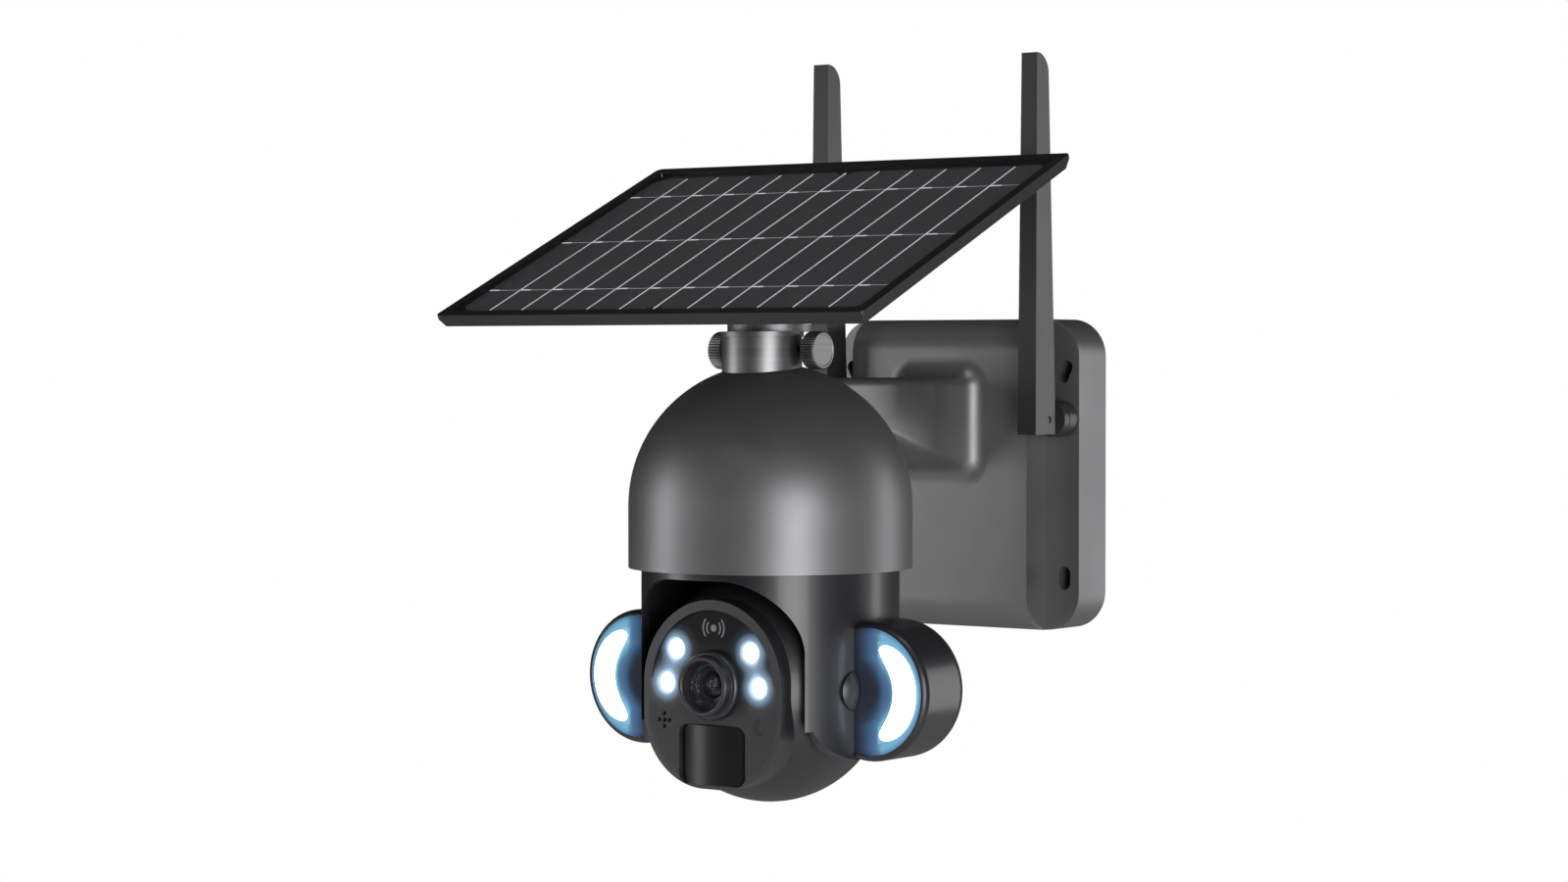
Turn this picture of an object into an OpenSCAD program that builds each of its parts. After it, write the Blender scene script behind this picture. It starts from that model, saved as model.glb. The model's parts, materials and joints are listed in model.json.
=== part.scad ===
// Solar pan-and-tilt security camera for a wall. Millimetres.
// X goes right, Y goes into the wall and Z goes up.
// The origin is the centre of the wall plate's back face.

/* [Wall case] */
// Width of the wall case
case_w = 129; // [118:1:156]
// Height of the wall case
case_h = 139; // [125:1:170]
// Corner radius of the case, seen from the front
case_corner = 17; // [14:1:21]
// Depth of the wide rear part of the case
slab_d = 23; // [19:1:28]
// Width of the raised front part
block_w = 94; // [86:1:94]
// Full depth of the case, from the wall to its front
case_d = 39; // [36:1:47]
// Radius along the top and bottom of the raised front part
block_round = 15; // [12:1:15]
// Wall thickness of the case
case_wall = 2.5; // [2:0.1:3]
// Thickness of the wall plate
plate_t = 3; // [2.5:0.1:4]
// Distance between the wall screws, side to side
mount_x = 114; // [108:1:116]
// Distance between the wall screws, top to bottom
mount_z = 92; // [80:1:96]
// Diameter of the wall screw holes
mount_hole = 5; // [4:0.1:5.5]
// Width of the screw slots in the case's flange
slot_w = 6; // [5.6:0.1:7]
// Length of the screw slots
slot_len = 10.5; // [9:0.5:12]
// Lean of the two upper slots
slot_lean = 25; // [0:5:30]

/* [Battery] */
// Diameter of one battery cell
cell_d = 18.4; // [18:0.1:19]
// Length of one battery cell
cell_len = 65; // [60:0.5:68]
// Space between two cells
cell_gap = 1; // [0.6:0.1:1.4]

/* [Arm] */
// Distance from the wall to the pan axis
reach = 167; // [160:1:200]
// Width of the arm
arm_w = 35; // [30:1:38]
// Height of the arm's top above the origin
arm_top = 43.5; // [40:0.5:46]
// Height of the arm's underside at the case
arm_low = 3; // [-2:0.5:6]
// Height of the arm's underside at the dome
arm_low_dome = 21; // [16:0.5:22]
// Radius of the flare where the arm meets the case
arm_flare = 9; // [6:0.5:10]
// Wall thickness of the arm
arm_wall = 3; // [2.5:0.1:3.5]

/* [Dome] */
// Outer radius of the dome cover
dome_r = 60; // [59:0.5:72]
// Height of the centre of the dome's round top
dome_z = -10; // [-12:1:-8]
// Height of the dome's lower rim
rim_z = -36; // [-38:1:-36]
// Wall thickness of the dome cover
dome_wall = 3; // [2.5:0.1:3.2]

/* [Head] */
// Gap between the dome's outside and the pan body's outside
skirt_step = 5.5; // [5:0.1:6]
// Wall thickness of the pan body
pan_wall = 2.5; // [2:0.1:2.8]
// Depth of the tilt axis under the dome's rim
tilt_drop = 49.5; // [49:0.5:52]
// Radius of the camera ball
ball_r = 49.5; // [46:0.5:49.5]
// Half width of the camera ball across its two flat sides
ball_half = 41; // [38:0.5:41]
// Half width of the camera's face
face_half = 35.6; // [32:0.2:36]
// Distance from the tilt axis forward to the hood's rim
hood_front = 41; // [38:0.5:42]
// Half width of the front opening in the pan body
mouth_half = 42.4; // [41.6:0.1:43]
// Radius of the front opening's upper corners
mouth_corner = 30; // [24:1:32]
// Half depth of the two cheeks
cheek_half = 34.4; // [32:0.2:35]
// Drop of the cheeks under the tilt axis
cheek_drop = 27.5; // [26:0.5:34]
// Radius of the cheeks' lower corners
cheek_corner = 24; // [20:1:27]

/* [Floodlights] */
// Radius of a floodlight housing
pod_r = 28.8; // [26:0.2:30]
// Length of a floodlight housing
pod_len = 33; // [28:0.5:36]
// Distance of a floodlight's centre outside the pan body's side
pod_out = 5.1; // [2.5:0.1:9]
// Distance of a floodlight's face in front of the pan axis
pod_front = 14.5; // [12:0.5:18]
// Wall thickness of a floodlight housing
pod_wall = 2.2; // [1.8:0.1:2.6]

/* [Gears] */
// Module of the pan gears
pan_module = 1; // [0.9:0.05:1]
// Teeth on the pan gear
pan_teeth = 60; // [54:2:60]
// Teeth on the pan pinion
pan_pinion_teeth = 12; // [12:2:14]
// Module of the tilt gears
tilt_module = 0.8; // [0.7:0.05:0.9]
// Teeth on the tilt gear
tilt_teeth = 36; // [32:2:38]
// Teeth on the tilt pinion
tilt_pinion_teeth = 12; // [12:2:14]

/* [Panel] */
// Width of the solar panel
panel_w = 218.5; // [200:0.5:262]
// Depth of the solar panel, front edge to back edge
panel_d = 167; // [150:0.5:200]
// Thickness of the panel's frame
panel_t = 6; // [5:0.5:8]
// Width of the frame's border around the cells
panel_border = 5.2; // [4:0.1:7]
// Slope of the panel at rest
panel_slope = 24; // [0:1:35]
// Number of cell strips side to side
strips = 12; // [8:2:16]
// Height of the panel's hinge pin above the dome's top
hinge_rise = 40; // [36:1:50]
// Distance from the hinge pin to the panel's underside
hinge_lift = 12; // [11:0.5:16]
// Distance from the hinge pin to the panel's middle, along the panel
hinge_back = 6.3; // [0:0.1:12]
// Diameter of the panel's hinge pin
hinge_pin_d = 6; // [4:0.5:6]

/* [Neck] */
// Outer radius of the neck sleeve
neck_r = 16.9; // [16:0.1:18]
// Distance of the sleeve's centre in front of the pan axis
neck_lead = 6; // [0:0.5:6]
// Radius of the post that the sleeve turns on
post_r = 8; // [7:0.1:8.4]
// Height of the neck sleeve's top above the dome's top
neck_rise = 11.2; // [10:0.1:14]
// Distance between the outer faces of the two thumb screws
thumb_span = 55; // [54:0.5:60]
// Diameter of a thumb screw's head
thumb_d = 16; // [14:0.5:16]
// Height of the thumb screws above the dome's top
thumb_rise = 5.4; // [4:0.1:6]

/* [Antennas] */
// Distance of an antenna from the middle plane
antenna_x = 56; // [54:0.1:58]
// Height of an antenna's socket
antenna_z = 25; // [15:0.5:28]
// Distance from the wall to an antenna's fold pin
antenna_fold_y = 42; // [41:0.5:46]
// Height of an antenna's tip
antenna_tip_z = 186; // [160:1:220]
// Width of an antenna's blade at its foot
blade_w = 9.6; // [9:0.1:11]
// Depth of an antenna's blade at its foot
blade_d = 16; // [15:0.1:18]
// Diameter of an antenna's socket
socket_d = 16; // [14:0.1:16]

/* [Hidden] */

$fn = 64;
far = 400;              // longer than anything that it cuts through
slip = 0.06;            // radial clearance of a shaft that turns in its bore
gap = 0.4;              // clearance between two parts that move past each other
fit = 0.2;              // clearance between two parts that are put together
pilot_r = 1.25;         // radius of the small screws' thread
screw_free_r = 1.45;    // radius of the hole that a small screw passes freely
screw_head_r = 2.6;     // radius of a small screw's head
screw_head_h = 1.8;     // height of a small screw's head

// Wall case
cavity_front = -(case_d - case_wall);
slot_tube = 1.8;        // wall around each screw slot
boss_r = 3.6;
block_in = block_w / 2 - case_wall;
case_bosses = [for (sx = [-1, 1], sz = [-1, 1]) [sx * (block_in - boss_r - 0.6), sz * (case_h / 2 - 11.5)]];
case_screw_len = 12;
board_posts = [for (sx = [-1, 1], sz = [-1, 1]) [sx * 30, sz * 44]];
board_y = -9;           // rear face of the charge board
board_t = 1.6;
cell_y = -24;           // centre of the battery cells
cell_pitch = cell_d + cell_gap;
cells = floor((2 * block_in - 4) / cell_pitch);
tray_back = cell_y + cell_d / 2 + 0.4;
antenna_stem_r = 3;     // radius of the stem that an antenna turns on

// Arm
arm_mid_z = (arm_top + arm_low) / 2;
arm_case_screws = [for (sx = [-1, 1]) for (z = [arm_low + 6.5, arm_top - 6.5]) [sx * 10, z]];
arm_dome_screw_x = 9;
arm_dome_screw_z = 28;
wire_r = 5;
wire_z = 36;
arm_end = 7;            // thickness of the arm's two ends

// Dome
dome_in = dome_r - dome_wall;
deck_top = rim_z + 11;
deck_t = 3;
deck_r = dome_in - fit;
dome_boss_at = dome_in - 3.4;
dome_boss_r = 4;
dome_boss_top = dome_z + 8;
dome_boss_angles = [30, 150, 270];
dome_top = dome_z + dome_r;
hinge_z = dome_top + hinge_rise;
neck_top = dome_top + neck_rise;
thumb_z = dome_top + thumb_rise;
post_top = neck_top - 2.5;
// flat pads under the two rear screws
pad_y = sqrt(pow(dome_in, 2) - pow(arm_dome_screw_z - dome_z + 5, 2)) - 4;
groove_depth = 0.8;

// Pan drive
gear_t = 5;
gear_z = deck_top + 1;
pan_pitch_r = pan_module * pan_teeth / 2;
pan_pinion_pitch_r = pan_module * pan_pinion_teeth / 2;
pan_motor_at = pan_pitch_r + pan_pinion_pitch_r;
motor_r = 14;
motor_len = 19;
motor_ear_at = 17.5;
motor_ear_r = 3.4;
shaft_r = 2.5;
pan_motor_z = gear_z + gear_t + 2;
hub_r = 12;
hub_bore_r = 6;
hub_flange_r = 21;
hub_flange_t = 2.5;
bush_t = 3;
main_board_z = pan_motor_z + motor_len + 9;
main_board_half = 34;
main_board_post = 29;

// Head: everything is measured from the tilt axis, where it crosses the pan axis
tilt_z = rim_z - tilt_drop;
pan_r = dome_r - skirt_step;
pan_in = pan_r - pan_wall;
pan_top = deck_top - deck_t - gap - hub_flange_t;
pan_roof = pan_top - 2.5;
mouth_top = rim_z - 3;
rear_drop = 15;         // how far the rear wall reaches under the tilt axis
cover_t = 2;
cover_out = mouth_half + cover_t;
axle_r = 5;
axle_bore_r = 2.5;
bush_r = 7.5;
ball_in = ball_r - 2.2;
ball_side_in = ball_half - 2.2;
tilt_pitch_r = tilt_module * tilt_teeth / 2;
tilt_pinion_pitch_r = tilt_module * tilt_pinion_teeth / 2;
tilt_centres = tilt_pitch_r + tilt_pinion_pitch_r;
tilt_gear_t = 4;
tilt_gear_out = ball_side_in - 3.5;
tilt_motor_out = tilt_gear_out - tilt_gear_t - 2;
ball_bosses = [for (sx = [-1, 1], sz = [-1, 1]) [sx * 30, sz * 26]];
ball_boss_r = 3.2;

// Camera face
face_top_z = 2.2;       // centre of the face's round top
face_low_r = face_half - 4.6;
face_low_x = 4.6;
face_low_z = -9.7;
plate_inset = 4.2;
plate_recess = 1.2;
ramp_low = 3;           // below this height the face is flush with the hood's rim
ramp_high = 15;         // above it the face is recessed; a ramp joins the two
face_plate_t = 2;
lip_inset = 6.6;
lens_z = 2.5;
barrel_r = 14.5;
barrel_front = hood_front + 7.5;
lens_glass_r = 10.2;
led_r = 4.4;
led_at = [[19.2, 16.8], [-19.2, 16.8], [23.7, 2.5], [-23.7, 2.5]];
window_w = 34;
window_h = 24.5;
window_z = -26.5;
window_corner = 4.5;
mic_at = [-24.8, -13.2];
light_sensor_at = [24, -13.8];
light_sensor_r = 3;

// Floodlights
pod_x = pan_r + pod_out;
pod_back = pod_len - pod_front;
pod_z = 1;
pod_window_r = pod_r - 2.4;
pod_window_t = 1.6;
pod_window_front = pod_front - 0.6;
crescent_x = 4;         // centre of the crescent's outer arc
crescent_r = 21;
crescent_cut_x = -6.3;  // centre of its inner arc
crescent_cut_r = 18.5;
crescent_from = 5.2;    // where its two ends are cut off
cap_r = 9;              // the round cap on each side of the pan body
cap_bulge_r = 18;
cap_out = 3;
cap_angle = 77;

// Panel, measured from the hinge pin and lying flat
panel_low = hinge_lift;
panel_high = hinge_lift + panel_t;
pocket_w = panel_w - 2 * panel_border;
pocket_d = panel_d - 2 * panel_border;
cell_t = 0.4;
glass_t = 1.4;
glass_top = panel_high - 0.3;
cell_low = glass_top - glass_t - cell_t;
strip_gap = 1;
strip_w = (pocket_w - 1 - (strips - 1) * strip_gap) / strips;
frame_draft = 2.5;
lug_half = 8.6;
lug_r = 6.5;
lug_plate_t = 2.5;
ear_t = 3.4;
ear_r = 7;
fork_r = 18.2;
fork_t = 3;
ring_t = 2.1;
neck_ring_r = neck_r + 0.7;
thumb_r = 2;
thumb_t = 6.9;

// Antennas
knuckle_front = antenna_fold_y - 8.2;
knuckle_t = 4;
socket_front = knuckle_front - knuckle_t - 0.3;
blade_front = antenna_fold_y + 11.4;
blade_foot_z = antenna_z - 6.5;
blade_taper = 0.8;
tongue_half = 2.3;
fold_pin_r = 1.5;

// ---- Shapes that repeat ----

// Rounded rectangle about the origin
module rrect(w, h, r) {
    square([w - 2 * r, h], center = true);
    square([w, h - 2 * r], center = true);
    for (sx = [-1, 1], sy = [-1, 1])
        translate([sx * (w / 2 - r), sy * (h / 2 - r)]) circle(r = r);
}

// Extrudes a front view (X across, Z up) from y = -front to y = -back
module front_prism(front, back) {
    translate([0, -back, 0]) rotate([90, 0, 0]) linear_extrude(front - back) children();
}

// Extrudes a side view (Y across, Z up) from x = from to x = to
module side_prism(from, to) {
    translate([from, 0, 0]) rotate([90, 0, 90]) linear_extrude(to - from) children();
}

// A rod along Y, from y = -front to y = -back, at x and z
module rod_y(r, front, back, x, z) {
    translate([x, -back, z]) rotate([90, 0, 0]) cylinder(r = r, h = front - back);
}

// A rod along X between two values of x, at y and z
module rod_x(r, from, to, y = 0, z = 0) {
    translate([from, y, z]) rotate([0, 90, 0]) cylinder(r = r, h = to - from);
}

// A small screw along Z: the head stands on z = 0 and the shank goes down
module screw(len, head_r = screw_head_r) {
    difference() {
        union() {
            cylinder(r = head_r, h = screw_head_h);
            translate([0, 0, -len]) cylinder(r = pilot_r, h = len + 0.1);
        }
        translate([0, 0, screw_head_h - 0.9]) cylinder(r = head_r * 0.45, h = 1, $fn = 6);
    }
}

// A spur gear about Z with straight-flanked teeth; one tooth points along +X
module spur(teeth, mod, thick) {
    pitch = teeth * mod / 2;
    root = pitch - 1.25 * mod;
    tip = pitch + 0.85 * mod;
    flank = tan(20);
    half = PI * mod / 4 - 0.14;
    function turn(r) = (half - (r - pitch) * flank) / r * 180 / PI;
    profile = [for (k = [0 : teeth - 1]) let (a = k * 360 / teeth) each [
        for (e = [[root, -1], [pitch, -1], [tip, -1], [tip, 1], [pitch, 1], [root, 1]])
            [e[0] * cos(a + e[1] * turn(e[0])), e[0] * sin(a + e[1] * turn(e[0]))]
    ]];
    linear_extrude(thick) polygon(profile);
}

module at_pan() { translate([0, -reach, 0]) children(); }
module at_tilt() { translate([0, -reach, tilt_z]) children(); }
module at_panel() { translate([0, -reach, hinge_z]) rotate([panel_slope, 0, 0]) children(); }
module both_sides() { children(); mirror([1, 0, 0]) children(); }

// ---- Wall case ----

module slot_2d(grow = 0) {
    span = slot_len - slot_w;
    r = slot_w / 2 + grow;
    square([2 * r, span], center = true);
    for (s = [-1, 1]) translate([0, s * span / 2]) circle(r = r);
}

module at_slots() {
    for (sx = [-1, 1]) {
        translate([sx * mount_x / 2, mount_z / 2]) rotate(-sx * slot_lean) children();
        translate([sx * mount_x / 2, -mount_z / 2]) children();
    }
}

// Side view of the raised front part, with its rounded top and bottom
module block_side(inset) {
    d = case_d - inset;
    h = case_h / 2 - inset;
    r = block_round - inset;
    translate([-d, -(h - r)]) square([d, 2 * (h - r)]);
    translate([-(d - r), -h]) square([d - r, 2 * h]);
    for (s = [-1, 1]) translate([-(d - r), s * (h - r)]) circle(r = r);
}

module back_plate() {
    color("dimgray") difference() {
        union() {
            front_prism(plate_t, 0)
                rrect(case_w - 2 * (case_wall + fit), case_h - 2 * (case_wall + fit),
                      case_corner - case_wall - fit);
            for (p = board_posts) rod_y(2.6, -board_y, plate_t - 0.1, p[0], p[1]);
        }
        for (sx = [-1, 1], sz = [-1, 1])
            rod_y(mount_hole / 2, far, -1, sx * mount_x / 2, sz * mount_z / 2);
        for (p = case_bosses) {
            rod_y(screw_free_r, far, -1, p[0], p[1]);
            rod_y(screw_head_r + fit, screw_head_h + 0.2, -1, p[0], p[1]);
        }
        for (p = board_posts) rod_y(pilot_r, far, plate_t - 1, p[0], p[1]);
    }
}

module case_shell() {
    color("dimgray") difference() {
        union() {
            difference() {
                union() {
                    front_prism(slab_d, 0) rrect(case_w, case_h, case_corner);
                    side_prism(-block_w / 2, block_w / 2) block_side(0);
                }
                front_prism(slab_d - case_wall, -1)
                    rrect(case_w - 2 * case_wall, case_h - 2 * case_wall, case_corner - case_wall);
                side_prism(-block_in, block_in) block_side(case_wall);
            }
            front_prism(slab_d - 0.5, plate_t) at_slots() slot_2d(slot_tube);
            for (p = case_bosses) rod_y(boss_r, case_d - 2, plate_t, p[0], p[1]);
        }
        front_prism(far, -1) at_slots() slot_2d();
        for (p = case_bosses) rod_y(pilot_r, case_screw_len + plate_t, plate_t - 1, p[0], p[1]);
        for (sx = [-1, 1]) rod_y(antenna_stem_r, far, -1, sx * antenna_x, antenna_z);
        for (p = arm_case_screws) rod_y(screw_free_r, far, 0, p[0], p[1]);
        rod_y(wire_r, far, 0, 0, arm_mid_z);
    }
}

module case_seal() {
    in_w = case_w - 2 * (case_wall + fit);
    in_h = case_h - 2 * (case_wall + fit);
    r = case_corner - case_wall - fit;
    color("black") difference() {
        front_prism(plate_t + 1.5, plate_t) difference() {
            rrect(in_w, in_h, r);
            rrect(in_w - 3, in_h - 3, r - 1.5);
        }
        front_prism(far, 0) at_slots() slot_2d(slot_tube + fit);
    }
}

module case_screws() {
    color("silver") for (p = case_bosses)
        translate([p[0], -screw_head_h, p[1]]) rotate([-90, 0, 0]) screw(case_screw_len);
}

module battery_cells() {
    color("teal") for (k = [0 : cells - 1])
        translate([(k - (cells - 1) / 2) * cell_pitch, cell_y, -cell_len / 2]) {
            cylinder(d = cell_d, h = cell_len - 1);
            translate([0, 0, cell_len - 1.1]) cylinder(d = cell_d / 3, h = 1.1);
        }
}

module battery_tray() {
    w = cells * cell_pitch + 1.5;
    z_end = cell_len / 2 + 0.3;
    color("darkslategray") difference() {
        union() {
            side_prism(-w / 2, w / 2) translate([tray_back, -z_end - 1.5]) square([1.8, 2 * z_end + 3]);
            for (s = [-1, 1]) side_prism(-w / 2, w / 2)
                translate([cell_y - 3, s * (z_end + 0.75) - 0.75]) square([tray_back - cell_y + 4, 1.5]);
        }
        for (s = [-1, 1]) translate([0, 0, s * 12]) rotate([90, 0, 0])
            cylinder(r = 4, h = far, center = true);
    }
}

module charge_board() {
    color("darkgreen") difference() {
        union() {
            front_prism(-board_y + board_t, -board_y) rrect(70, 98, 3);
            front_prism(-board_y + board_t + 1.2, -board_y + 1) {
                square([12, 12], center = true);
                translate([22, 20]) square([9, 14], center = true);
                translate([-22, -18]) square([14, 9], center = true);
                translate([-20, 26]) circle(r = 4);
            }
        }
        for (p = board_posts) rod_y(screw_free_r, far, 0, p[0], p[1]);
    }
}

// ---- Arm ----

// Side view of the arm: a flat top and an underside that rises towards the dome
module arm_side(inset) {
    dome_end = reach - 15;
    polygon([
        [-case_d, arm_top - inset], [-case_d, arm_low + inset], [-case_d - arm_flare, arm_low + inset + 1],
        [-(case_d + reach - dome_r) / 2 - arm_flare, (arm_low + arm_low_dome) / 2 + inset],
        [-(reach - dome_r) + 6, arm_low_dome - 2 + inset],
        [-dome_end, arm_low_dome + 10 + inset], [-dome_end, arm_top - inset]
    ]);
}

// How far the flare stands out at a distance t from the case
function flare_at(t) = arm_flare - sqrt(pow(arm_flare, 2) - pow(arm_flare - t, 2));

module flare_slice(t) {
    out = flare_at(t);
    translate([0, 0, arm_mid_z]) front_prism(case_d + t + 0.02, case_d + t)
        rrect(arm_w + 2 * out, arm_top - arm_low + 2 * out, 3 + out, $fn = 32);
}

// A round-topped drum about the pan axis, down to the given height
module dome_solid(r, low) {
    rotate_extrude($fn = 128) {
        intersection() {
            translate([0, dome_z]) circle(r = r, $fn = 128);
            translate([0, dome_z]) square(r);
        }
        translate([0, low]) square([r, dome_z - low]);
    }
}

module arm() {
    steps = 4;
    color("dimgray") difference() {
        union() {
            side_prism(-arm_w / 2, arm_w / 2) arm_side(0);
            for (k = [0 : steps - 1]) hull() {
                flare_slice(arm_flare * (1 - cos(90 * k / steps)));
                flare_slice(arm_flare * (1 - cos(90 * (k + 1) / steps)));
            }
        }
        at_pan() dome_solid(dome_r + 0.05, rim_z - 1);
        intersection() {
            side_prism(-arm_w / 2 + arm_wall, arm_w / 2 - arm_wall) arm_side(arm_wall);
            translate([-far / 2, -(reach - dome_r) - 2, -far / 2])
                cube([far, reach - dome_r + 2 - case_d - arm_end, far]);
        }
        for (p = arm_case_screws) rod_y(pilot_r, case_d + arm_end + 1, 0, p[0], p[1]);
        rod_y(wire_r, case_d + arm_end + 1, 0, 0, arm_mid_z);
        for (sx = [-1, 1]) rod_y(pilot_r, far, reach - dome_r - 1, sx * arm_dome_screw_x, arm_dome_screw_z);
        rod_y(wire_r, far, reach - dome_r - 1, 0, wire_z);
    }
}

module arm_screws() {
    len = case_wall + arm_end - 1;
    color("silver") {
        for (p = arm_case_screws)
            translate([p[0], cavity_front, p[1]]) rotate([-90, 0, 0]) screw(len);
        for (sx = [-1, 1])
            translate([sx * arm_dome_screw_x, -reach + pad_y, arm_dome_screw_z])
                rotate([90, 0, 0]) screw(15);
    }
}

// ---- Dome ----

module dome_cover() {
    color("gray") at_pan() difference() {
        union() {
            difference() {
                dome_solid(dome_r, rim_z);
                dome_solid(dome_in, rim_z - 1);
            }
            translate([0, 0, dome_top - 4]) cylinder(r = post_r, h = post_top - dome_top + 4);
            intersection() {
                dome_solid(dome_r - 0.5, rim_z);
                union() {
                    for (a = dome_boss_angles) rotate(a)
                        translate([dome_boss_at, 0, deck_top])
                            cylinder(r = dome_boss_r, h = dome_boss_top - deck_top);
                    for (sx = [-1, 1])
                        translate([sx * arm_dome_screw_x, pad_y, arm_dome_screw_z]) rotate([-90, 0, 0])
                            cylinder(r = 4.5, h = 40);
                }
            }
        }
        for (a = dome_boss_angles) rotate(a)
            translate([dome_boss_at, 0, deck_top - 1]) cylinder(r = pilot_r, h = 10);
        for (sx = [-1, 1])
            translate([sx * arm_dome_screw_x, 0, arm_dome_screw_z]) rotate([-90, 0, 0])
                cylinder(r = screw_free_r, h = far);
        translate([0, 0, wire_z]) rotate([-90, 0, 0]) cylinder(r = wire_r, h = far);
        cylinder(r = 3, h = far);
        translate([0, 0, thumb_z]) rotate_extrude()
            translate([post_r - groove_depth, -thumb_r - 0.3]) square([2, 2 * thumb_r + 0.6]);
    }
}

module deck() {
    color("darkslategray") at_pan() difference() {
        union() {
            translate([0, 0, deck_top - deck_t]) cylinder(r = deck_r, h = deck_t, $fn = 128);
            for (s = [-1, 1]) translate([-pan_motor_at, s * motor_ear_at, deck_top - 0.1])
                cylinder(r = 3, h = pan_motor_z - deck_top + 0.1);
            for (sx = [-1, 1], sy = [-1, 1])
                translate([sx * main_board_post, sy * main_board_post, deck_top - 0.1])
                cylinder(r = 3, h = main_board_z - deck_top + 0.1);
        }
        translate([0, 0, deck_top - deck_t - 1]) cylinder(r = hub_r + bush_t, h = deck_t + 2);
        for (a = dome_boss_angles) rotate(a)
            translate([dome_boss_at, 0, deck_top - deck_t - 1]) cylinder(r = screw_free_r, h = deck_t + 2);
        for (s = [-1, 1]) translate([-pan_motor_at, s * motor_ear_at, pan_motor_z - 6])
            cylinder(r = pilot_r, h = 10);
        for (sx = [-1, 1], sy = [-1, 1])
            translate([sx * main_board_post, sy * main_board_post, main_board_z - 6])
                cylinder(r = pilot_r, h = 10);
    }
}

module dome_screws() {
    color("silver") at_pan() {
        for (a = dome_boss_angles) rotate(a)
            translate([dome_boss_at, 0, deck_top - deck_t]) rotate([180, 0, 0]) screw(9, 2.2);
        for (s = [-1, 1]) translate([-pan_motor_at, s * motor_ear_at, pan_motor_z + 1]) screw(6);
        for (sx = [-1, 1], sy = [-1, 1])
            translate([sx * main_board_post, sy * main_board_post, main_board_z + board_t]) screw(6);
    }
}

module main_board() {
    color("darkgreen") at_pan() translate([0, 0, main_board_z]) difference() {
        union() {
            linear_extrude(board_t) rrect(2 * main_board_half, 2 * main_board_half, 3);
            linear_extrude(board_t + 2) {
                square([16, 16], center = true);
                translate([-18, 8]) square([8, 12], center = true);
                translate([16, -18]) square([14, 8], center = true);
            }
        }
        for (sx = [-1, 1], sy = [-1, 1])
            translate([sx * main_board_post, sy * main_board_post, -1]) cylinder(r = screw_free_r, h = 5);
    }
}

// A small geared motor that stands on z = 0 and has its shaft's bore along Z
module motor() {
    difference() {
        union() {
            cylinder(r = motor_r, h = motor_len);
            linear_extrude(1) {
                square([2 * motor_ear_r, 2 * motor_ear_at], center = true);
                for (s = [-1, 1]) translate([0, s * motor_ear_at]) circle(r = motor_ear_r);
            }
        }
        translate([0, 0, -1]) cylinder(r = shaft_r + slip, h = 9);
        for (s = [-1, 1]) translate([0, s * motor_ear_at, -1]) cylinder(r = screw_free_r, h = 3);
    }
}

module pan_motor() {
    color("silver") at_pan() translate([-pan_motor_at, 0, pan_motor_z]) motor();
}

module pan_pinion() {
    color("ivory") at_pan() translate([-pan_motor_at, 0, gear_z]) union() {
        rotate(180 / pan_pinion_teeth) spur(pan_pinion_teeth, pan_module, gear_t);
        cylinder(r = shaft_r, h = pan_motor_z - gear_z + 7);
    }
}

module pan_bush() {
    color("ivory") at_pan() translate([0, 0, deck_top - deck_t]) difference() {
        cylinder(r = hub_r + bush_t, h = deck_t);
        translate([0, 0, -1]) cylinder(r = hub_r + slip, h = deck_t + 2);
    }
}

// ---- Pan head ----

// Side view of a cheek, from the tilt axis
module cheek_side(inset) {
    r = cheek_corner - inset;
    h = cheek_half - inset;
    low = -cheek_drop + inset;
    translate([-h, low + r]) square([2 * h, far / 2]);
    translate([-(h - r), low]) square([2 * (h - r), far / 2]);
    for (s = [-1, 1]) translate([s * (h - r), low + r]) circle(r = r);
}

// Front view of the opening for the camera ball, from the tilt axis
module mouth_front() {
    top = mouth_top - tilt_z;
    r = mouth_corner;
    translate([-mouth_half, -far]) square([2 * mouth_half, far + top - r]);
    translate([-(mouth_half - r), -far]) square([2 * (mouth_half - r), far + top]);
    for (s = [-1, 1]) translate([s * (mouth_half - r), top - r]) circle(r = r);
}

module pan_body() {
    roof = pan_roof - tilt_z;
    color("#2b2b2e") at_tilt() difference() {
        intersection() {
            translate([0, 0, -cheek_drop - 1])
                cylinder(r = pan_r, h = pan_top - tilt_z + cheek_drop + 1, $fn = 128);
            union() {
                translate([-far / 2, -far / 2, -rear_drop]) cube([far, far, far]);
                side_prism(-far / 2, far / 2) cheek_side(0);
            }
        }
        intersection() {
            translate([0, 0, -far + roof]) cylinder(r = pan_in, h = far, $fn = 128);
            translate([-mouth_half, -far / 2, -far / 2]) cube([2 * mouth_half, far, far]);
        }
        front_prism(far, 0) mouth_front();
        translate([-mouth_half, -far / 2, -far - rear_drop]) cube([2 * mouth_half, far, far]);
        intersection() {
            translate([0, 0, -far + roof - 2]) cylinder(r = pan_in, h = far, $fn = 128);
            side_prism(-far / 2, far / 2) cheek_side(pan_wall);
            union() for (s = [-1, 1]) translate([s * (mouth_half + 50) - 50.01, -far / 2, -far / 2])
                cube([100.02, far, far]);
        }
        cylinder(r = hub_bore_r, h = far);
        for (a = [0, 120, 240]) rotate(a) translate([hub_r + 5, 0, 0]) cylinder(r = pilot_r, h = far);
    }
}

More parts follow.
